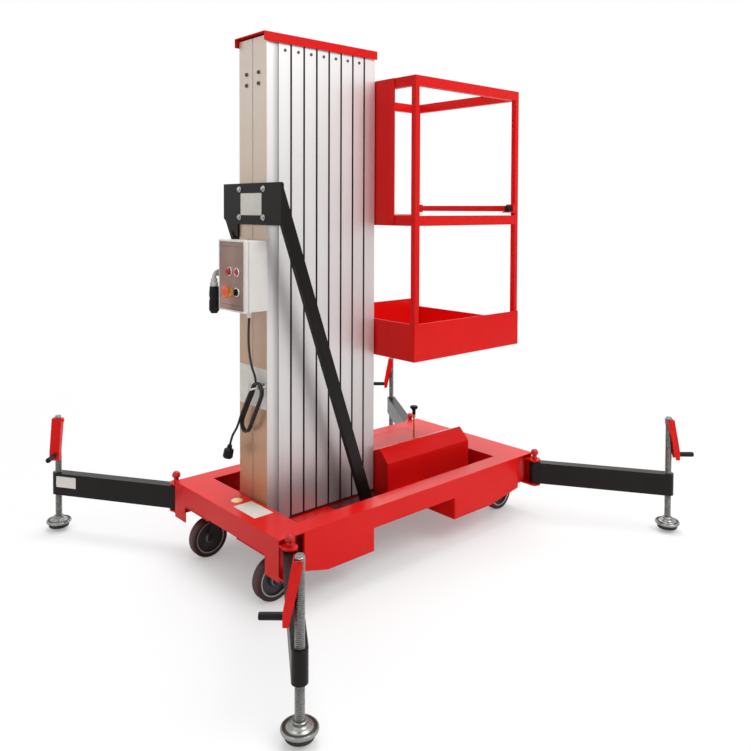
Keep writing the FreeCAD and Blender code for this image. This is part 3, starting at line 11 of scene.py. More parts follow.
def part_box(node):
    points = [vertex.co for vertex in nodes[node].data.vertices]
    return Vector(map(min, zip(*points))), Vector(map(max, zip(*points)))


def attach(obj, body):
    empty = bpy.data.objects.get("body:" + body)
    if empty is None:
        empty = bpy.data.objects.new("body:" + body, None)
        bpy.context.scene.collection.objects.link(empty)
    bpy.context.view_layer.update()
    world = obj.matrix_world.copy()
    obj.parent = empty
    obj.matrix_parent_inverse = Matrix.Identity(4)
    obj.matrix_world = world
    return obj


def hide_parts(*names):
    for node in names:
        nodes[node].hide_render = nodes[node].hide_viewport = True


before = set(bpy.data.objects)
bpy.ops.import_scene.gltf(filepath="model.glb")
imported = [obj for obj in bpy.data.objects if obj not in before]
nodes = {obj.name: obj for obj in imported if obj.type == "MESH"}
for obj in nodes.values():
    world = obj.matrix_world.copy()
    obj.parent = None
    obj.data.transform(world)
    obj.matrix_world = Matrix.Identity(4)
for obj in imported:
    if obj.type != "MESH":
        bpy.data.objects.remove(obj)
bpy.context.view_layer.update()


# Tray
# Folded and welded steel sheet in baked gloss red powder coat. A yellow chromated plug closes a hole in the
# deck beside the mast, next to a blank plate. Thin sheets cover the pan beside the power cover and the two
# bays beside the mast's foot.
class Signal:
    """A shader socket that Python's operators work on."""

    def __init__(self, finish, socket):
        self.finish = finish
        self.socket = socket

    def __add__(self, other):
        return self.finish.math("ADD", self, other)

    __radd__ = __add__

    def __mul__(self, other):
        return self.finish.math("MULTIPLY", self, other)

    __rmul__ = __mul__

    def __sub__(self, other):
        return self.finish.math("SUBTRACT", self, other)

    def __rsub__(self, other):
        return self.finish.math("SUBTRACT", other, self)


class Finish:
    """A new material, or a world's node tree, whose nodes are added one call at a time."""

    def __init__(self, name="", tree=None):
        self.tree = tree
        self.normal = None
        if tree is None:
            self.material = bpy.data.materials.new(name)
            self.material.use_nodes = True
            self.tree = self.material.node_tree
            self.shader = self.tree.nodes["Principled BSDF"]

    def node(self, kind, settings=None, **values):
        """Add a node: its settings first, then the values or links of its sockets."""
        item = self.tree.nodes.new("ShaderNode" + kind)
        for key, value in (settings or {}).items():
            setattr(item, key, value)
        for key, value in values.items():
            self.join(value, self.socket(item.inputs, key))
        return item

    def socket(self, sockets, key):
        """A socket by its name in plain letters, or by its number after an s."""
        if key[0] == "s" and key[1:].isdigit():
            return sockets[int(key[1:])]
        words = key.replace("_", " ").lower()
        return next(item for item in sockets if item.enabled and item.name.lower() == words)

    def join(self, value, socket):
        """Link a signal to a socket, or set the socket to a number or a colour."""
        if isinstance(value, Signal):
            self.tree.links.new(value.socket, socket)
        elif socket.type == "RGBA":
            socket.default_value = (*value, 1)
        else:
            socket.default_value = value

    def out(self, item, key=0):
        return Signal(self, item.outputs[key])

    def math(self, operation, first, second=0.0):
        return self.out(self.node("Math", {"operation": operation}, s0=first, s1=second))

    def noise(self, size, detail=3.0, rough=0.5, scale=(1, 1, 1)):
        """Cloudy noise, 0 to 1, with clouds about 1 / size metres wide."""
        where = self.out(self.node("TexCoord"), "Object")
        if scale != (1, 1, 1):
            where = self.out(self.node("Mapping", Vector=where, Scale=scale))
        item = self.node("TexNoise", Vector=where, Scale=size, Detail=detail, Roughness=rough)
        return self.out(item, "Fac")

    def place(self, letter):
        """X, Y or Z of the spot on the surface, in metres."""
        where = self.out(self.node("TexCoord"), "Object")
        return self.out(self.node("SeparateXYZ", Vector=where), letter)

    def between(self, signal, low, high):
        """1 where a number lies between two limits, else 0."""
        return self.math("GREATER_THAN", signal, low) * self.math("LESS_THAN", signal, high)

    def rising(self, signal, low, high):
        """A number that climbs from 0 at one limit to 1 at the other."""
        return self.out(self.node("MapRange", Value=signal, From_Min=low, From_Max=high))

    def blend(self, amount, first, second):
        """A mix of two colours."""
        return self.out(self.node("Mix", {"data_type": "RGBA"}, s0=amount, s6=first, s7=second), 2)

    def round_edges(self, radius):
        """A normal that is turned on sharp edges, as paint and dies round them."""
        self.normal = self.out(self.node("Bevel", {"samples": 4}, Radius=radius))
        self.join(self.normal, self.shader.inputs["Normal"])
        return self

    def bump(self, height, strength):
        """Fine relief, on top of the rounded edges where there are any."""
        item = self.node("Bump", Height=height, Strength=strength, Distance=0.001)
        if self.normal:
            self.join(self.normal, item.inputs["Normal"])
        self.join(self.out(item), self.shader.inputs["Normal"])

    def set(self, **values):
        """Set or link sockets of the main shader."""
        for key, value in values.items():
            self.join(value, self.socket(self.shader.inputs, key))

    def shades(self, size, detail, first, second):
        """A base colour that drifts from one shade to another in clouds."""
        self.set(base_color=self.blend(self.noise(size, detail), first, second))

    def dullness(self, size, detail, spread, least):
        """A roughness that drifts in clouds, from the least one up."""
        self.set(roughness=self.noise(size, detail) * spread + least)


def corners_of(node):
    """The lowest and the highest corner of a CAD node at rest."""
    return [Vector(corner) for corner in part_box(node)]


def axis_of(node, height):
    """The point at a height on the upright axis of a CAD node."""
    low, high = corners_of(node)
    return Vector((*((low + high) / 2).xy, height))


def dress(finish, *names):
    """Give a finish to CAD nodes."""
    for name in names:
        mesh = nodes[name].data
        mesh.materials.clear()
        mesh.materials.append(finish.material)


def finished(piece, finish, slot, body, *replaced):
    """Give a new piece its finish, unless it brings its own, and the body it rides on. The slot is not used.
    """
    if finish:
        piece.data.materials.append(finish.material)
    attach(piece, body)
    if replaced:
        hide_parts(*replaced)


def take(*pieces):
    """Select these pieces and nothing else, with the first one active."""
    bpy.ops.object.select_all(action="DESELECT")
    for piece in pieces:
        piece.select_set(True)
    bpy.context.view_layer.objects.active = pieces[0]


def applied(piece, name, angle=35):
    """Name a piece, put its place into its mesh and smooth its round faces."""
    bpy.ops.object.transform_apply(location=True, rotation=True, scale=True)
    bpy.ops.object.shade_smooth_by_angle(angle=math.radians(angle))
    piece.name = name
    return piece


def modified(kind, **settings):
    """Add a modifier to the active piece and apply it."""
    item = bpy.context.object.modifiers.new(kind.lower(), kind)
    for key, value in settings.items():
        setattr(item, key, value)
    bpy.ops.object.modifier_apply(modifier=item.name)


def copied(piece, name, offset):
    """A copy of a piece, with a mesh of its own that is moved by an offset."""
    take(piece)
    bpy.ops.object.duplicate()
    bpy.ops.transform.translate(value=offset)
    bpy.ops.object.transform_apply(location=True, rotation=False, scale=False)
    copy = bpy.context.object
    copy.name = name
    return copy


def block(name, low, high, rounding, turned_by=0.0):
    """A block between two corners with rounded edges, turned about the vertical through its middle."""
    low, high = Vector(low), Vector(high)
    bpy.ops.object.select_all(action="DESELECT")
    bpy.ops.mesh.primitive_cube_add(size=1, location=(low + high) / 2, scale=high - low,
                                    rotation=(0, 0, turned_by))
    bpy.ops.object.transform_apply(location=False, rotation=False, scale=True)
    modified("BEVEL", width=rounding, segments=3)
    return applied(bpy.context.object, name)


def drawn(spots):
    """Draw a line of edges from spot to spot, and stay in edit mode."""
    bpy.ops.object.select_all(action="DESELECT")
    bpy.ops.mesh.primitive_plane_add(size=0.001, location=spots[0])
    bpy.ops.object.mode_set(mode="EDIT")
    bpy.ops.mesh.select_mode(type="VERT")
    bpy.ops.mesh.merge(type="CENTER")
    for before, after in zip(spots, spots[1:]):
        bpy.ops.mesh.extrude_region_move(TRANSFORM_OT_translate={"value": after - before})


def spun(name, profile, centre, axis=(0, 0, 1), across=(1, 0, 0), steps=40, angle=35):
    """Draw half an outline as (radius, height) points from a centre, and spin it round an axis."""
    centre, axis, across = Vector(centre), Vector(axis), Vector(across)
    drawn([centre + across * radius + axis * height for radius, height in profile])
    bpy.ops.mesh.select_all(action="SELECT")
    bpy.ops.mesh.spin(steps=steps, angle=math.tau, center=centre, axis=axis)
    bpy.ops.mesh.select_all(action="SELECT")
    bpy.ops.mesh.remove_doubles(threshold=1e-6)
    bpy.ops.mesh.normals_make_consistent(inside=False)
    bpy.ops.object.mode_set(mode="OBJECT")
    return applied(bpy.context.object, name, angle)


well_low, well_high = Vector((-0.60, -0.352, 0.10)), Vector((0.0, 0.352, 0.2625))


def red_coat(name, well_shade=0.0):
    """Gloss red powder coat. The last argument darkens the well round the mast's foot with painted shade, 0
    to 1.
    """
    coat = Finish(name).round_edges(0.0016)
    shade = coat.blend(coat.noise(3, 4), (0.64, 0.004, 0.004), (0.76, 0.007, 0.006))
    shade = coat.blend(coat.noise(5, 2) * 0.05, shade, (0.66, 0.10, 0.07))
    # Painted shade: the well round the mast's foot is darkened, as if it lay in shadow.
    if well_shade:
        well = coat.between(coat.place("Z"), well_low.z, well_high.z)
        well = well * coat.between(coat.place("X"), well_low.x, well_high.x)
        well = well * coat.between(coat.place("Y"), well_low.y, well_high.y)
        shade = coat.blend(well * well_shade, shade, (0.035, 0.006, 0.006))
    coat.set(base_color=shade, specular_ior_level=0.14)
    coat.dullness(25, 4, 0.10, 0.18)
    coat.bump(coat.noise(420, 2), 0.04)
    return coat


red = red_coat("red_powder_coat")
dress(red_coat("red_tray_coat", 0.9), "base_tray")

deck = corners_of("base_tray")[1].z
chromate = Finish("yellow_chromate")
chromate.shades(70, 4, (0.82, 0.62, 0.26), (0.90, 0.74, 0.40))
chromate.dullness(120, 3, 0.2, 0.35)
chromate.set(metallic=0.35)
plug_outline = [(0, 0.0030), (0.010, 0.0030), (0.019, 0.0022), (0.0215, 0.0004), (0.0215, 0.0001),
                (0, 0.0001)]
deck_plug = spun("deck_plug", plug_outline, (-0.604, 0.024, deck))
finished(deck_plug, chromate, "zinc_steel", "machine")

plate_white = Finish("bare_plate")
plate_white.shades(45, 4, (0.70, 0.67, 0.60), (0.80, 0.78, 0.73))
plate_white.dullness(160, 3, 0.2, 0.35)
plate_start, plate_end, plate_right, plate_left = -0.646, -0.568, -0.160, -0.020
deck_plate = block("deck_plate", (plate_start, plate_right, deck + 0.0001),
                   (plate_end, plate_left, deck + 0.0011), 0.0004)
finished(deck_plate, plate_white, "white_plastic", "machine")

pan_start, pan_end, pan_side = 0.0, 0.5095, 0.3600
pan_sheet, pan_sunk, rod_bore = 0.0028, 0.0004, 0.026
cover_side = corners_of("power_cover")[1].y
pan_cover = block("pan_cover", (pan_start, cover_side + 0.0008, deck - pan_sunk - pan_sheet),
                  (pan_end, pan_side, deck - pan_sunk), 0.0006)
bore_outline = [(0, -0.01), (rod_bore, -0.01), (rod_bore, 0.01), (0, 0.01)]
bore = spun("bore", bore_outline, axis_of("lowering_knob", deck))
take(pan_cover)
modified("BOOLEAN", operation="DIFFERENCE", object=bore)
bpy.ops.object.shade_flat()
bpy.data.objects.remove(bore)
finished(pan_cover, red, "red_paint", "machine")

bay_start, bay_end, bay_low, bay_high = -0.4470, -0.2710, 0.1975, 0.2006
bay_inner, bay_outer = 0.0965, 0.270
bay_right = block("bay_floor", (bay_start, -bay_outer, bay_low), (bay_end, -bay_inner, bay_high), 0.0003)
bay_left = copied(bay_right, "bay_floor", (0, bay_inner + bay_outer, 0))
for bay_floor in (bay_right, bay_left):
    finished(bay_floor, red, "red_paint", "machine")


# Power cover, pump and lowering knob
# A folded sheet cover in the tray's red, over a black pump unit. The lowering valve is opened by a brass rod
# with a dished black knob.
dress(red, "power_cover")

black_plastic = Finish("black_plastic").round_edges(0.001)
black_plastic.shades(40, 3, (0.007, 0.007, 0.007), (0.018, 0.017, 0.017))
black_plastic.dullness(200, 2, 0.2, 0.32)
black_plastic.set(specular_ior_level=0.12)
dress(black_plastic, "power_unit")

brass = Finish("brass_rod")
brass.shades(90, 4, (0.62, 0.34, 0.12), (0.80, 0.52, 0.24))
brass.dullness(150, 3, 0.25, 0.25)
brass.set(metallic=0.8)
knob_low, knob_high = corners_of("lowering_knob")
knob_top = axis_of("lowering_knob", knob_high.z)
rod_length, nut_low, nut_high = knob_high.z - knob_low.z, -0.052, -0.040
rod_outline = [(0, -rod_length), (0.005, -rod_length), (0.005, nut_low), (0.0085, nut_low),
               (0.0085, nut_high), (0, nut_high)]
valve_rod = spun("valve_rod", rod_outline, knob_top)
finished(valve_rod, brass, "black_plastic", "machine", "lowering_knob")
knob_outline = [(0, nut_high), (0.0075, nut_high), (0.0085, -0.034), (0.0075, -0.026), (0.0095, -0.018),
                (0.0165, -0.012), (0.018, -0.008), (0.018, -0.004), (0.016, -0.0012), (0.012, 0),
                (0.006, -0.0016), (0, -0.0022)]
valve_knob = spun("valve_knob", knob_outline, knob_top, steps=48, angle=60)
finished(valve_knob, black_plastic, "black_plastic", "machine")


# Casters
# Pressed forks in dark plating, two that swivel and two that are fixed. Each wheel is a glossy dark hub with
# a plum polyurethane tread, and bright rings show its bearing, its boss and the lip of its rim.
zinc = Finish("zinc_plate").round_edges(0.0008)
zinc.shades(60, 4, (0.36, 0.36, 0.35), (0.62, 0.62, 0.61))
zinc.dullness(120, 3, 0.2, 0.28)
zinc.set(metallic=0.85)
fork_plate = Finish("dark_plating").round_edges(0.0008)
fork_plate.shades(60, 4, (0.030, 0.028, 0.030), (0.075, 0.070, 0.072))
fork_plate.dullness(120, 3, 0.2, 0.28)
fork_plate.set(metallic=0.7)
dress(fork_plate, "fixed_forks", "swivel_fork_right", "swivel_fork_left")
tread = Finish("polyurethane_tread")
tread.shades(50, 4, (0.034, 0.009, 0.008), (0.066, 0.019, 0.016))
tread.dullness(90, 3, 0.25, 0.30)
tread.set(specular_ior_level=0.4)
hub = Finish("cast_hub").round_edges(0.001)
hub.shades(80, 4, (0.030, 0.031, 0.038), (0.075, 0.078, 0.090))
hub.dullness(60, 3, 0.1, 0.12)


def joined(name, pieces):
    """Several pieces as one object."""
    take(*pieces)
    bpy.ops.object.join()
    pieces[0].name = name
    return pieces[0]


wheels = ("rear_wheel_right", "rear_wheel_left", "front_wheel_right", "front_wheel_left")
hub_low, hub_high = corners_of("rear_wheel_right_hub")
hub_half = (hub_high.y - hub_low.y) / 2
bearing_outline = [(0.0079, hub_half - 0.001), (0.0135, hub_half - 0.001), (0.0140, hub_half + 0.0012),
                   (0.0125, hub_half + 0.0018), (0.0090, hub_half + 0.0018), (0.0079, hub_half + 0.0012),
                   (0.0079, hub_half - 0.001)]
lip_outline = [(0.0545, hub_half - 0.0055), (0.0550, hub_half - 0.0038), (0.0592, hub_half - 0.0036),
               (0.0597, hub_half - 0.0055), (0.0545, hub_half - 0.0055)]
boss_outline = [(0.0165, hub_half - 0.0008), (0.0168, hub_half + 0.0004), (0.0190, hub_half - 0.0002),
                (0.0216, hub_half - 0.0022), (0.0214, hub_half - 0.0030), (0.0165, hub_half - 0.0008)]
rings = joined("rings", [
    spun("ring", outline, (0, 0, 0), (0, way, 0), steps=48)
    for outline in (bearing_outline, lip_outline, boss_outline) for way in (-1, 1)
])
for wheel in wheels:
    dress(tread, wheel + "_tread")
    dress(hub, wheel + "_hub")
    hub_low, hub_high = corners_of(wheel + "_hub")
    finished(copied(rings, wheel + "_rings", (hub_low + hub_high) / 2), zinc, "zinc_steel", wheel)
bpy.data.objects.remove(rings)


# Legs
# Black powder coated steel tubes with rounded ends, which swing out on their pins. The left leg at the mast's
# end has a small bare plate near its tip.
black = Finish("black_powder_coat").round_edges(0.002)
black.shades(9, 5, (0.0050, 0.0038, 0.0032), (0.0105, 0.0082, 0.0074))
black.dullness(30, 4, 0.14, 0.24)
black.set(specular_ior_level=0.16)
black.bump(black.noise(700, 2), 0.04)
corners = ("rear_right", "rear_left", "front_right", "front_left")
dress(black, *["leg_" + corner for corner in corners])

leg_pin, leg_turn = Vector((-0.660, 0.3905, 0.211)), math.radians(123)
plate_middle = leg_pin + Matrix.Rotation(leg_turn, 3, "Z") @ Vector((0.500, 0.0229, 0))
plate_half = Vector((0.047, 0.0004, 0.0225))
leg_plate = block("leg_plate", plate_middle - plate_half, plate_middle + plate_half, 0.0003, leg_turn)
finished(leg_plate, plate_white, "white_plastic", "leg_rear_left")


# Leg pins
# Steel pivots through the ears of the tray's pockets, which the legs swing on. Each has a round knob on top,
# moulded in gloss red plastic.
red_plastic = Finish("red_plastic").round_edges(0.001)
red_plastic.shades(50, 3, (0.46, 0.006, 0.006), (0.60, 0.010, 0.009))
red_plastic.dullness(150, 2, 0.12, 0.16)
red_plastic.set(specular_ior_level=0.35)
dress(red_plastic, "leg_pins")


# Jacks
# A zinc plated screw with a coarse rolled thread in each leg, over a pressed steel cup on a moulded rubber
# pad. The root of the thread and the groove in the cup are darker.
rubber = Finish("foot_rubber")
rubber.shades(80, 4, (0.010, 0.010, 0.009), (0.026, 0.025, 0.022))
rubber.dullness(140, 3, 0.25, 0.5)
jack_zinc = Finish("jack_zinc").round_edges(0.0006)
jack_zinc.shades(45, 5, (0.20, 0.20, 0.19), (0.40, 0.40, 0.385))
jack_zinc.dullness(90, 4, 0.22, 0.18)
jack_zinc.set(metallic=0.9)
dark_zinc = Finish("thread_root")
dark_zinc.shades(60, 4, (0.050, 0.050, 0.048), (0.12, 0.12, 0.115))
dark_zinc.set(metallic=0.8, roughness=0.5)

pad_radius, cup_radius, neck_radius, screw_radius = 0.043, 0.050, 0.0205, 0.0135
pad_low, cup_low, cup_high, neck_high = 0.014, 0.028, 0.050, 0.060
groove_inner, groove_outer = 0.0368, 0.0432
thread_pitch, thread_depth = 0.005, 0.0020
root_radius = screw_radius - thread_depth
screw_top = corners_of("jack_rear_right")[1].z
thread_low = neck_high - 0.004
thread_turns = int((screw_top - 0.003 - thread_low) / thread_pitch)
thread_high = thread_low + thread_turns * thread_pitch
pad_outline = [(0, pad_low), (0.036, pad_low), (0.0385, pad_low + 0.001), (0.0400, pad_low + 0.004),
               (0.0390, pad_low + 0.005), (0.0400, pad_low + 0.006), (0.0415, pad_low + 0.010),
               (0.0405, pad_low + 0.011), (0.0415, pad_low + 0.012), (pad_radius, cup_low),
               (pad_radius, cup_low + 0.006), (0, cup_low + 0.006)]
cup_outline = [(0, cup_low + 0.0065), (0.0440, cup_low + 0.0065), (0.0440, cup_low + 0.0030),
               (0.0465, cup_low + 0.0028), (0.0490, cup_low + 0.0050), (cup_radius, cup_low + 0.0085),
               (0.0494, cup_low + 0.0120), (0.0470, cup_low + 0.0145), (0.0440, cup_low + 0.0140),
               (0.0424, cup_low + 0.0110), (0.0400, cup_low + 0.0100), (0.0378, cup_low + 0.0110),
               (0.0362, cup_low + 0.0145), (0.0330, cup_low + 0.0168), (0.0270, cup_low + 0.0175),
               (0.0250, cup_high - 0.001), (0.0235, cup_high), (neck_radius, cup_high + 0.001),
               (neck_radius, neck_high - 0.002), (neck_radius - 0.002, neck_high), (0, neck_high)]
head_outline = [(0, thread_high), (root_radius, thread_high), (root_radius, screw_top - 0.002),
                (screw_radius - 0.003, screw_top), (0, screw_top)]
turn_outline = [(root_radius, 0), (root_radius, 0.18), (screw_radius, 0.38), (screw_radius, 0.62),
                (root_radius, 0.82), (root_radius, 1)]

pad = spun("pad", pad_outline, (0, 0, 0), steps=48)
cup = spun("cup", cup_outline, (0, 0, 0), steps=48)
head = spun("head", head_outline, (0, 0, 0), steps=32)
drawn([Vector((radius, 0, thread_low + share * thread_pitch)) for radius, share in turn_outline])
bpy.ops.object.mode_set(mode="OBJECT")
bpy.ops.object.origin_set(type="ORIGIN_CURSOR")
modified("SCREW", screw_offset=thread_pitch, iterations=thread_turns, steps=20, render_steps=20,
         use_merge_vertices=True)
thread = applied(bpy.context.object, "thread", 50)
for part in (cup, head, thread):
    part.data.materials.append(jack_zinc.material)
for part in (cup, thread):
    part.data.materials.append(dark_zinc.material)
for face in cup.data.polygons:
    if groove_inner < face.center.xy.length < groove_outer and face.center.z > cup_low + 0.010:
        face.material_index = 1
for face in thread.data.polygons:
    if face.center.xy.length < root_radius + thread_depth * 0.3:
        face.material_index = 1
screw = joined("screw", [thread, head, cup])
for corner in corners:
    jack = "jack_" + corner
    foot = axis_of(jack, 0)
    finished(copied(pad, "jack_pad_" + corner, foot), rubber, "cord_black", jack)
    finished(copied(screw, "jack_screw_" + corner, foot), None, "zinc_steel", jack, jack)
for part in (pad, screw):
    bpy.data.objects.remove(part)


# Cranks
# Channels folded from red sheet on a bolt through the head of each screw, with a black grip that turns on a
# pin.
dress(red, *["crank_" + corner for corner in corners])
dress(black_plastic, *["grip_" + corner for corner in corners])


# Mast
# Eight anodized aluminium extrusions that slide in each other's slots, with fine die lines all the way up,
# and a folded red cap on the last one. Small screws hold the slide blocks at the top of each section.
first_low, first_high = corners_of("mast_section_1")
mast_face, first_end, mast_side = first_low.x, first_high.x, first_high.y
mast_end = corners_of("mast_section_8")[1].x
second_start, section_pitch = first_end + 0.005, 0.0595
strip_width, strip_shade = 0.014, (0.012, 0.010, 0.012)


def aluminium(name, edge_start, edge_end):
    """Anodized aluminium with die lines up its length, its colour and a mask of painted shade at each joint.
    """
    metal = Finish(name).round_edges(0.0008)
    lines = metal.noise(900, 2, 0.6, (1, 1, 0.004))
    shade = metal.blend(metal.noise(2.5, 3), (0.70, 0.685, 0.68), (0.80, 0.79, 0.785))
    shade = metal.blend(lines * 0.25, shade, (0.55, 0.53, 0.53))
    # Painted reflection: the metal darkens towards the bottom.
    painted_low_reflection = 1 - metal.rising(metal.place("Z"), 0.24, 0.85)
    shade = metal.blend(painted_low_reflection * 0.38, shade, (0.20, 0.165, 0.175))
    # Painted shade: the section edges beside each joint are dark and dull, so the joints read wider.
    turn = metal.math("FRACT", (metal.place("X") - second_start) * (1 / section_pitch))
    strip = (1 - metal.between(turn, 0.030, 0.886)) * metal.between(metal.place("X"), edge_start, edge_end)
    off_middle = metal.math("ABSOLUTE", metal.place("Y"))
    strip = strip * metal.math("GREATER_THAN", off_middle, mast_side - strip_width)
    metal.set(metallic=0.65 - strip * 0.6, roughness=lines * 0.16 + 0.34)
    metal.bump(lines, 0.05)
    return metal, shade, strip


extrusion, section_shade, joint_edge_shade = aluminium("anodized_extrusion", -1.0, mast_end - 0.004)
extrusion.set(base_color=extrusion.blend(joint_edge_shade, section_shade, strip_shade))
dress(extrusion, *[f"mast_section_{count}" for count in range(2, 9)])
dress(red, "mast_cap")

first_metal, first_colour, joint_edge_shade = aluminium("first_extrusion", first_end - 0.020, 1.0)
# Painted reflection: the front face is tinted warm beige, turning darker and more orange towards the bottom.
painted_reflection_rise = first_metal.rising(first_metal.place("Z"), 0.35, 1.75)
painted_front_reflection = first_metal.blend(painted_reflection_rise, (0.50, 0.275, 0.155), (0.70, 0.61, 0.52))
first_colour = first_metal.blend(first_metal.between(first_metal.place("X"), -1.0, mast_face + 0.0015), first_colour, painted_front_reflection)
# Painted shade: a grey band near the front of the first section, darkening towards its end, stands in for a
# curved flute's shading.
flute_start, flute_deep, flute_end = mast_face + 0.012, mast_face + 0.025, mast_face + 0.053
painted_flute_shade = first_metal.rising(first_metal.place("X"), flute_deep, flute_end)
painted_flute_shade = painted_flute_shade * first_metal.between(first_metal.place("X"), flute_start, flute_end)
first_colour = first_metal.blend(painted_flute_shade * 0.8, first_colour, (0.24, 0.24, 0.245))
first_metal.set(base_color=first_metal.blend(joint_edge_shade, first_colour, strip_shade))
dress(first_metal, "mast_section_1")


def screw_head(spot, out, radius, height):
    """A round screw head with a dished middle, on a spot."""
    outline = [(0, height * 0.55), (radius * 0.5, height * 0.6), (radius * 0.62, height),
               (radius * 0.86, height * 0.9), (radius, height * 0.4), (radius, 0), (0, 0)]
    return spun("screw", outline, spot, out, (0, 0, 1), 16)


def spread(name, part, spots):
    """One piece made of copies of a part, one on each spot. The part itself goes."""
    piece = joined(name, [copied(part, "copy", spot) for spot in spots])
    bpy.data.objects.remove(part)
    return piece


dark_screw = Finish("dark_screw")
dark_screw.shades(150, 3, (0.05, 0.05, 0.05), (0.12, 0.11, 0.10))
dark_screw.set(metallic=0.7, roughness=0.4)
screw_level, screw_inset = 1.934, 0.024
pair = joined("pair", [
    screw_head((0, way * mast_side, screw_level), (0, way, 0), 0.0060, 0.0028) for way in (-1, 1)
])
for count in range(1, 8):
    body = "machine" if count == 1 else f"stage_{count}"
    section_end = corners_of(f"mast_section_{count}")[1].x
    screws = copied(pair, f"mast_screws_{count}", (section_end - screw_inset, 0, 0))
    finished(screws, dark_screw, "zinc_steel", body)
bpy.data.objects.remove(pair)
bolt_rows, bolt_levels = (-0.040, 0.040), (1.811, 1.851)
cylinder_bolts = spread("cylinder_bolts", screw_head((mast_face, 0, 0), (-1, 0, 0), 0.0075, 0.005),
                        [(0, row, level) for row in bolt_rows for level in bolt_levels])
finished(cylinder_bolts, dark_screw, "zinc_steel", "machine")
band_half, band_low, band_high = 0.0895, 0.622, 0.770
band = block("mast_band", (mast_face - 0.0004, -band_half, band_low),
             (mast_face - 0.0001, band_half, band_high), 0.0001)
finished(band, plate_white, "white_plastic", "machine")


# Brace
# A bent black plate bolted to the first section, and two flat bars from it down to the tray. Four zinc bolts
# hold it, round a blank plate.
dress(black, "strut_right", "strut_left")


def reshaped(name, node, moves):
    """A copy of a CAD node's mesh, merged, with the corners that each test picks moved by an offset."""
    mesh = nodes[node].data.copy()
    mesh.name = name
    piece = bpy.data.objects.new(name, mesh)
    bpy.context.scene.collection.objects.link(piece)
    take(piece)
    bpy.ops.object.mode_set(mode="EDIT")
    bpy.ops.mesh.select_mode(type="VERT")
    bpy.ops.mesh.select_all(action="SELECT")
    bpy.ops.mesh.remove_doubles(threshold=1e-5)
    for picked, offset in moves:
        bpy.ops.mesh.select_all(action="DESELECT")
        bpy.ops.object.mode_set(mode="OBJECT")
        for corner in mesh.vertices:
            corner.select = picked(corner.co)
        bpy.ops.object.mode_set(mode="EDIT")
        bpy.ops.transform.translate(value=offset)
    bpy.ops.object.mode_set(mode="OBJECT")
    mesh.materials.clear()
    return piece


brace_face = corners_of("brace_plate")[0].x
brace_levels = sorted({round(corner.co.z, 4) for corner in nodes["brace_plate"].data.vertices})
brace_tip, brace_middle, brace_wing = brace_levels[:3]
brace_sheet = reshaped("brace_sheet", "brace_plate", (
    (lambda at: at.y < -0.05 and at.z < brace_tip + 0.001, (0, 0, brace_middle - brace_tip)),
    (lambda at: at.y < -0.05 and abs(at.z - brace_wing) < 0.001, (0, 0, brace_middle - brace_wing)),
))
finished(brace_sheet, black, "black_paint", "machine", "brace_plate")

bolt_radius, bolt_height, washer_top = 0.0075, 0.0055, 0.0015
bpy.ops.object.select_all(action="DESELECT")
bpy.ops.mesh.primitive_cylinder_add(vertices=6, radius=bolt_radius, depth=bolt_height,
                                    location=(brace_face - washer_top - bolt_height / 2, 0, 0),
                                    rotation=Vector((-1, 0, 0)).to_track_quat("Z", "Y").to_euler())
modified("BEVEL", width=bolt_radius * 0.1, segments=2)
hexagon = applied(bpy.context.object, "hexagon")
washer_outline = [(0, 0), (bolt_radius * 1.45, 0), (bolt_radius * 1.5, 0.0004), (bolt_radius * 1.5, 0.0011),
                  (bolt_radius * 1.4, 0.0016), (0, 0.0016)]
washer = spun("washer", washer_outline, (brace_face, 0, 0), (-1, 0, 0), (0, 0, 1), 24)
bolt_rows, bolt_levels = (-0.080, 0.080), (1.323, 1.427)
brace_bolts = spread("brace_bolts", joined("bolt", [hexagon, washer]),
                     [(0, row, level) for row in bolt_rows for level in bolt_levels])
finished(brace_bolts, zinc, "zinc_steel", "machine")
label_half, label_low, label_high = 0.070, 1.331, 1.412
brace_label = block("brace_label", (brace_face - 0.0010, -label_half, label_low),
                    (brace_face - 0.0001, label_half, label_high), 0.0003)
finished(brace_label, plate_white, "white_plastic", "machine")


# Control box
# A pale painted steel box whose lid frames a film panel, with two push buttons and a selector in metal rings,
# and a mushroom stop button on a yellow collar. A socket hangs from a bent pipe at its far side.
box_low, box_high = corners_of("control_box")
box_front, box_side = -0.655, 0.066
lid_back = box_front + 0.018
shell_end = mast_face - 0.008
box_paint = Finish("pale_box_paint")
box_paint.shades(18, 4, (0.66, 0.64, 0.61), (0.76, 0.74, 0.71))
box_paint.dullness(90, 3, 0.15, 0.34)
film = Finish("panel_film")
film_shade = film.blend(film.noise(12, 4), (0.33, 0.20, 0.165), (0.41, 0.255, 0.21))
film_low, film_high = box_low + Vector((0, 0.007, 0.008)), Vector((0, box_side - 0.007, box_high.z - 0.008))


def panel_area(inset):
    """One inside the film's printed border, drawn in by a margin."""
    wide = film.between(film.place("Y"), film_low.y + inset, film_high.y - inset)
    return wide * film.between(film.place("Z"), film_low.z + inset, film_high.z - inset)


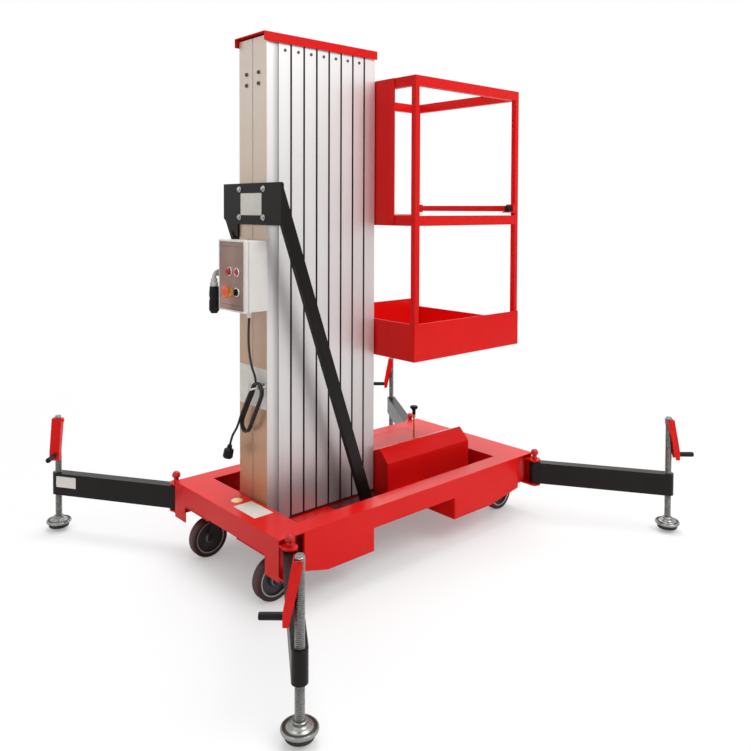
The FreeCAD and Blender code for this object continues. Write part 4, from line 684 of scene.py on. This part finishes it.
border_width, rule_inset, rule_level, rule_half = 0.0018, 0.012, 0.016, 0.0016
border = panel_area(0) * (1 - panel_area(border_width))
for level in (film_low.z + rule_level, film_high.z - rule_level):
    rule = film.between(film.place("Z"), level - rule_half, level + rule_half)
    border = border + panel_area(rule_inset) * rule
film.set(base_color=film.blend(border * 0.55, film_shade, (0.11, 0.055, 0.05)))
film.dullness(120, 3, 0.15, 0.3)
lid_gap, shell_inset, bracket_inset = 0.0012, 0.002, 0.030
shell = block("shell", (lid_back + lid_gap, box_low.y + shell_inset, box_low.z + shell_inset),
              (shell_end, box_side - shell_inset, box_high.z - shell_inset), 0.004)
bracket = block("bracket", (shell_end, box_low.y + 0.012, box_low.z + bracket_inset),
                (mast_face, box_side - 0.014, box_high.z - bracket_inset), 0.001)
lid = block("lid", (box_front, box_low.y, box_low.z), (lid_back, box_side, box_high.z), 0.004)
for part in (shell, bracket, lid):
    part.data.materials.append(box_paint.material)
lid.data.materials.append(film.material)
lid_frame, lid_dish = 0.0030, 0.0016
for face in lid.data.polygons:
    face.select = face.normal.x < -0.99 and face.area > 0.01
bpy.ops.object.mode_set(mode="EDIT")
bpy.ops.mesh.select_mode(type="FACE")
bpy.ops.mesh.inset(thickness=lid_frame, depth=0)
bpy.ops.mesh.extrude_region_move(TRANSFORM_OT_translate={"value": (lid_dish, 0, 0)})
bpy.ops.object.mode_set(mode="OBJECT")
for face in lid.data.polygons:
    if face.select and face.normal.x < -0.99:
        face.material_index = 1
box_case = joined("control_box_case", [lid, shell, bracket])
finished(box_case, None, "box_white", "machine", "control_box")

panel_face = box_front + lid_dish
outward, upward = (-1, 0, 0), (0, 0, 1)
near_row, far_row = -0.064, -0.015
upper_row, lower_row = 1.130, 1.058
rings_zinc = Finish("button_rings")
rings_zinc.shades(60, 3, (0.70, 0.68, 0.66), (0.82, 0.81, 0.80))
rings_zinc.dullness(90, 3, 0.1, 0.18)
rings_zinc.set(metallic=0.75)
ring_outline = [(0, 0.0022), (0.0126, 0.0022), (0.0130, 0.0060), (0.0144, 0.0068), (0.0160, 0.0058),
                (0.0168, 0.0022), (0.0170, 0), (0, 0)]
button_rings = spread("button_rings", spun("ring", ring_outline, (panel_face, 0, 0), outward, upward),
                      [(0, near_row, upper_row), (0, far_row, upper_row), (0, near_row, lower_row)])
finished(button_rings, rings_zinc, "zinc_steel", "machine")

red_lens = Finish("red_push_button")
red_lens.shades(60, 3, (0.40, 0.008, 0.020), (0.50, 0.014, 0.028))
red_lens.dullness(90, 3, 0.1, 0.18)
lens_outline = [(0, 0.0195), (0.0065, 0.0190), (0.0108, 0.0165), (0.0126, 0.0115), (0.0128, 0.0060),
                (0.0126, 0.0024), (0, 0.0024)]
lamp_button = spun("raised_button", lens_outline, (panel_face, far_row, upper_row), outward, upward, angle=60)
flat_outline = [(0, 0.0088), (0.0086, 0.0086), (0.0120, 0.0072), (0.0126, 0.0048), (0.0126, 0.0024),
                (0, 0.0024)]
flat_button = spun("flat_button", flat_outline, (panel_face, near_row, upper_row), outward, upward, angle=60)
push_buttons = joined("push_buttons", [lamp_button, flat_button])
finished(push_buttons, red_lens, "button_black", "machine", "control_buttons")

dial_outline = [(0, 0.0090), (0.0094, 0.0088), (0.0118, 0.0075), (0.0126, 0.0024), (0, 0.0024)]
dial = spun("dial", dial_outline, (panel_face, near_row, lower_row), outward, upward)
bar_middle = Vector((panel_face - 0.01175, near_row, lower_row))
bar_half = Vector((0.00375, 0.0032, 0.0105))
bar = block("bar", bar_middle - bar_half, bar_middle + bar_half, 0.0012)
finished(joined("selector", [dial, bar]), black_plastic, "button_black", "machine")

orange = Finish("stop_orange")
orange.shades(80, 3, (0.74, 0.105, 0.018), (0.84, 0.15, 0.03))
orange.dullness(90, 3, 0.1, 0.2)
stop_at = (panel_face, far_row, lower_row)
stop_outline = [(0, 0.0310), (0.0100, 0.0306), (0.0175, 0.0290), (0.0222, 0.0255), (0.0234, 0.0218),
                (0.0218, 0.0190), (0.0150, 0.0172), (0.0104, 0.0160), (0.0096, 0.0080), (0, 0.0080)]
stop_cap = spun("stop_cap", stop_outline, stop_at, outward, upward, angle=60)
finished(stop_cap, orange, "stop_orange", "machine", "stop_button")
yellow = Finish("stop_collar_yellow")
yellow.shades(80, 3, (0.80, 0.40, 0.05), (0.90, 0.48, 0.08))
yellow.dullness(90, 3, 0.1, 0.3)
collar_outline = [(0, 0.0095), (0.0120, 0.0095), (0.0135, 0.0080), (0.0165, 0.0016), (0.0165, 0), (0, 0)]
stop_collar = spun("stop_collar", collar_outline, stop_at, outward, upward, angle=50)
finished(stop_collar, yellow, "stop_orange", "machine")

socket_x, socket_y, socket_low = -0.655, 0.097, 0.968
pipe_radius, bend, bend_low = 0.0078, 0.022, 1.098
bend_side = socket_y - bend
bpy.ops.object.select_all(action="DESELECT")
bpy.ops.mesh.primitive_circle_add(vertices=20, radius=pipe_radius, location=(socket_x, socket_y, bend_low),
                                  fill_type="NOTHING")
bpy.ops.object.mode_set(mode="EDIT")
bpy.ops.mesh.select_mode(type="VERT")
bpy.ops.mesh.select_all(action="SELECT")
bpy.ops.mesh.spin(steps=12, angle=math.radians(-90), center=(socket_x, bend_side, bend_low), axis=(1, 0, 0))
bpy.ops.mesh.extrude_region_move(TRANSFORM_OT_translate={"value": (0, box_side - bend_side, 0)})
bpy.ops.mesh.select_all(action="SELECT")
bpy.ops.mesh.remove_doubles(threshold=1e-6)
bpy.ops.mesh.normals_make_consistent(inside=False)
bpy.ops.object.mode_set(mode="OBJECT")
elbow = applied(bpy.context.object, "elbow")
nut_outline = [(0, 0), (0.0130, 0), (0.0134, 0.001), (0.0134, 0.008), (0.0120, 0.010), (0.0100, 0.0115),
               (0, 0.0115)]
elbow_nut = spun("elbow_nut", nut_outline, (socket_x, box_side, bend_low + bend), (0, 1, 0), upward, 6)
neck_outline = [(0, 0.030), (0.0098, 0.030), (0.0098, 0.0295), (0.0122, 0.028), (0.0122, 0.016),
                (0.0150, 0.014), (0.0150, 0), (0, 0)]
neck = spun("socket_neck", neck_outline, (socket_x, socket_y, bend_low - 0.030))
finished(joined("socket_pipe", [elbow, elbow_nut, neck]), zinc, "zinc_steel", "machine")
socket_outline = [(0, 0.0998), (0.0155, 0.0998), (0.0170, 0.097), (0.0176, 0.084), (0.0184, 0.082),
                  (0.0184, 0.060), (0.0170, 0.058), (0.0170, 0.050), (0.0186, 0.048), (0.0190, 0.014),
                  (0.0182, 0.010), (0.0140, 0.004), (0.0120, 0.0), (0.0095, 0.0), (0.0085, 0.012), (0, 0.012)]
socket_body = spun("socket_body", socket_outline, (socket_x, socket_y, socket_low))
finished(socket_body, black_plastic, "black_plastic", "machine", "side_socket")

white_plastic = Finish("white_plastic")
white_plastic.shades(30, 3, (0.70, 0.68, 0.66), (0.80, 0.79, 0.78))
white_plastic.dullness(90, 3, 0.1, 0.35)
dress(white_plastic, "cord_gland")


# Power cord
# A rubber mains lead. It leaves the control box downwards, hangs in three stretched loops on the hook on the
# mast, and ends in its plug.
cord_diameter = 0.009
fold_radius = 0.0295
hank_top = Vector((-0.072, 0.695))
hank_bottom = Vector((0.014, 0.555))
hank_start, hank_depth = -0.5645, 0.019
hank_run = hank_bottom - hank_top
hank_along = hank_run.normalized()
hank_across = Vector((-hank_along.y, hank_along.x))
cord_start = [(-0.584, -0.029, 0.957), (-0.585, -0.025, 0.900), (-0.583, -0.025, 0.840),
              (-0.576, -0.031, 0.778), (-0.566, -0.048, 0.732)]
cord_end = [(-0.5835, 0.052, 0.540), (-0.5855, 0.065, 0.5215), (-0.594, 0.077, 0.496), (-0.599, 0.080, 0.467)]


def fold(middle, start):
    """Four points round one end of the hank, from one side to the other."""
    steps = []
    for count in range(4):
        angle = math.radians(22.5 + 45 * count) + start
        steps.append(middle + fold_radius * (math.cos(angle) * hank_across + math.sin(angle) * hank_along))
    return steps


cord_turn = [hank_top + hank_run * share + hank_across * fold_radius for share in (0.12, 0.5, 0.88)]
cord_turn += fold(hank_bottom, 0)
cord_turn += [hank_top + hank_run * share - hank_across * fold_radius for share in (0.88, 0.5, 0.12)]
cord_turn += fold(hank_top, math.pi)
cord_route = list(cord_start)
turn_points = cord_turn * 2 + cord_turn[:3]
for count, point in enumerate(turn_points):
    depth = hank_start - hank_depth * count / (len(turn_points) - 1)
    cord_route.append((depth, point.x, point.y))
cord_route += cord_end

cord_curve = bpy.data.curves.new("power_cord_line", "CURVE")
cord_curve.dimensions = "3D"
cord_curve.bevel_depth = cord_diameter / 2
cord_curve.bevel_resolution = 4
cord_curve.resolution_u = 10
cord_curve.use_fill_caps = True
spline = cord_curve.splines.new("NURBS")
spline.points.add(len(cord_route) - 1)
for point, place in zip(spline.points, cord_route):
    point.co = (*place, 1)
spline.order_u = 3
spline.use_endpoint_u = True
power_lead = bpy.data.objects.new("power_lead", cord_curve)
bpy.context.scene.collection.objects.link(power_lead)

cord_rubber = Finish("cord_rubber")
dust = cord_rubber.rising(cord_rubber.noise(180), 0.35, 0.7)
cord_rubber.set(base_color=cord_rubber.blend(dust, (0.003, 0.003, 0.003), (0.008, 0.007, 0.007)))
cord_rubber.dullness(60, 3, 0.2, 0.42)
finished(power_lead, cord_rubber, "cord_black", "machine", "power_cord", "cord_hank", "power_cord_tail")
dress(zinc, "cord_hook")
dress(black_plastic, "cord_plug")


# Basket
# A red carrier plate behind, kick boards and floor of sheet, and a frame of welded square tube. The gate bar
# at the entry lifts on its pivot and has a black end.
dress(red, "carrier_plate", "basket_tray", "gate_bar")
frame_low, frame_high = corners_of("basket_frame")
tube, thinner = 0.030, 0.008


def near(value, target):
    """On the inner face of a tube, or on the round corners beside it."""
    return abs(value - target) < 0.0032


slim_frame = reshaped("slim_frame", "basket_frame", (
    (lambda at: near(at.x, frame_low.x + tube), (-thinner, 0, 0)),
    (lambda at: near(at.x, frame_high.x - tube), (thinner, 0, 0)),
    (lambda at: near(at.y, frame_low.y + tube), (0, -thinner, 0)),
    (lambda at: near(at.y, frame_high.y - tube), (0, thinner, 0)),
))
finished(slim_frame, red, "red_paint", "basket", "basket_frame")
bar_low, bar_high = corners_of("gate_bar")
sleeve, sleeve_length = 0.0006, 0.022
gate_end = block("gate_bar_end", bar_low - Vector((sleeve, sleeve, sleeve)),
                 (bar_high.x + sleeve, bar_low.y + sleeve_length, bar_high.z + 0.0002), 0.0005)
finished(gate_end, black_plastic, "black_plastic", "gate")


# Studio
# A pale floor under a white world, with four soft lamps. Light paths make the floor and the world near white
# to the camera, and the floor keeps the lift's shadow.
bpy.ops.object.select_all(action="DESELECT")
bpy.ops.mesh.primitive_plane_add(size=40, location=(0, 0, 0))
floor = bpy.context.object
floor.name = "studio_floor"
ground = Finish("studio_floor")
ground.set(base_color=(0.86, 0.86, 0.86), roughness=0.8, specular_ior_level=0.1)
glow = ground.node("Emission", Color=(1, 1, 1), Strength=1.0)
spot = ground.node("VectorMath", {"operation": "LENGTH"}, s0=ground.out(ground.node("TexCoord"), "Object"))
far_off = ground.rising(ground.out(spot, "Value"), 1.2, 3.6)
shaded = ground.out(ground.node("AmbientOcclusion", {"samples": 8}, Distance=0.55), "AO")
seen = ground.out(ground.node("LightPath"), "Is Camera Ray") * (far_off * 0.28 + 0.72) * (shaded * 0.7 + 0.3)
mixed = ground.node("MixShader", s0=seen, s1=ground.out(ground.shader), s2=ground.out(glow))
ground.join(ground.out(mixed), ground.tree.nodes["Material Output"].inputs["Surface"])
floor.data.materials.append(ground.material)

world = bpy.data.worlds.new("studio")
world.use_nodes = True
bpy.context.scene.world = world
sky = Finish(tree=world.node_tree)
paths = sky.node("LightPath")
direct = sky.math("MAXIMUM", sky.out(paths, "Is Camera Ray"), sky.out(paths, "Is Glossy Ray"))
direct = sky.math("MAXIMUM", direct, sky.out(paths, "Is Transmission Ray"))
backdrop = sky.tree.nodes["Background"]
sky.join((1, 1, 1), backdrop.inputs["Color"])
sky.join(direct * 0.62 + 0.38, backdrop.inputs["Strength"])

# Columns: name, place, aim, size, watts
lamps = (
    ("key_lamp", (0.8, -4.0, 4.6), (0, 0, 0.7), 3.0, 150),
    ("side_lamp", (-4.6, -0.2, 3.2), (0, 0, 0.9), 3.0, 18),
    ("top_lamp", (0.4, 0.6, 5.4), (0, 0, 0.2), 3.0, 225),
    ("back_lamp", (3.8, 3.2, 3.6), (0, 0, 0.9), 2.5, 50),
)
for name, place, aim, size, watts in lamps:
    lamp = bpy.data.lights.new(name, "AREA")
    lamp.size = size
    lamp.energy = watts
    item = bpy.data.objects.new(name, lamp)
    item.location = place
    item.rotation_euler = (Vector(aim) - Vector(place)).to_track_quat("-Z", "Y").to_euler()
    bpy.context.scene.collection.objects.link(item)


# Camera
# It stands at the photographer's place, a little higher than the control box, and looks slightly down. The
# photo is cut off-centre, so the lens is shifted down.
camera_data = bpy.data.cameras.new("camera")
camera_data.lens = 36.28
camera_data.sensor_width = 36
camera_data.shift_x = 0.0032
camera_data.shift_y = -0.1913
camera_data.clip_end = 60
camera = bpy.data.objects.new("camera", camera_data)
camera.location = (-2.0831, -2.3795, 1.3553)
camera_yaw, camera_pitch, camera_roll = math.radians(41.844), math.radians(1.724), math.radians(0.218)
turn = Matrix.Rotation(-camera_yaw, 3, "Z") @ Matrix.Rotation(math.pi / 2 - camera_pitch, 3, "X")
camera.rotation_euler = (turn @ Matrix.Rotation(camera_roll, 3, "Z")).to_euler()
bpy.context.scene.collection.objects.link(camera)
bpy.context.scene.camera = camera

bpy.context.scene.view_settings.view_transform = "Standard"
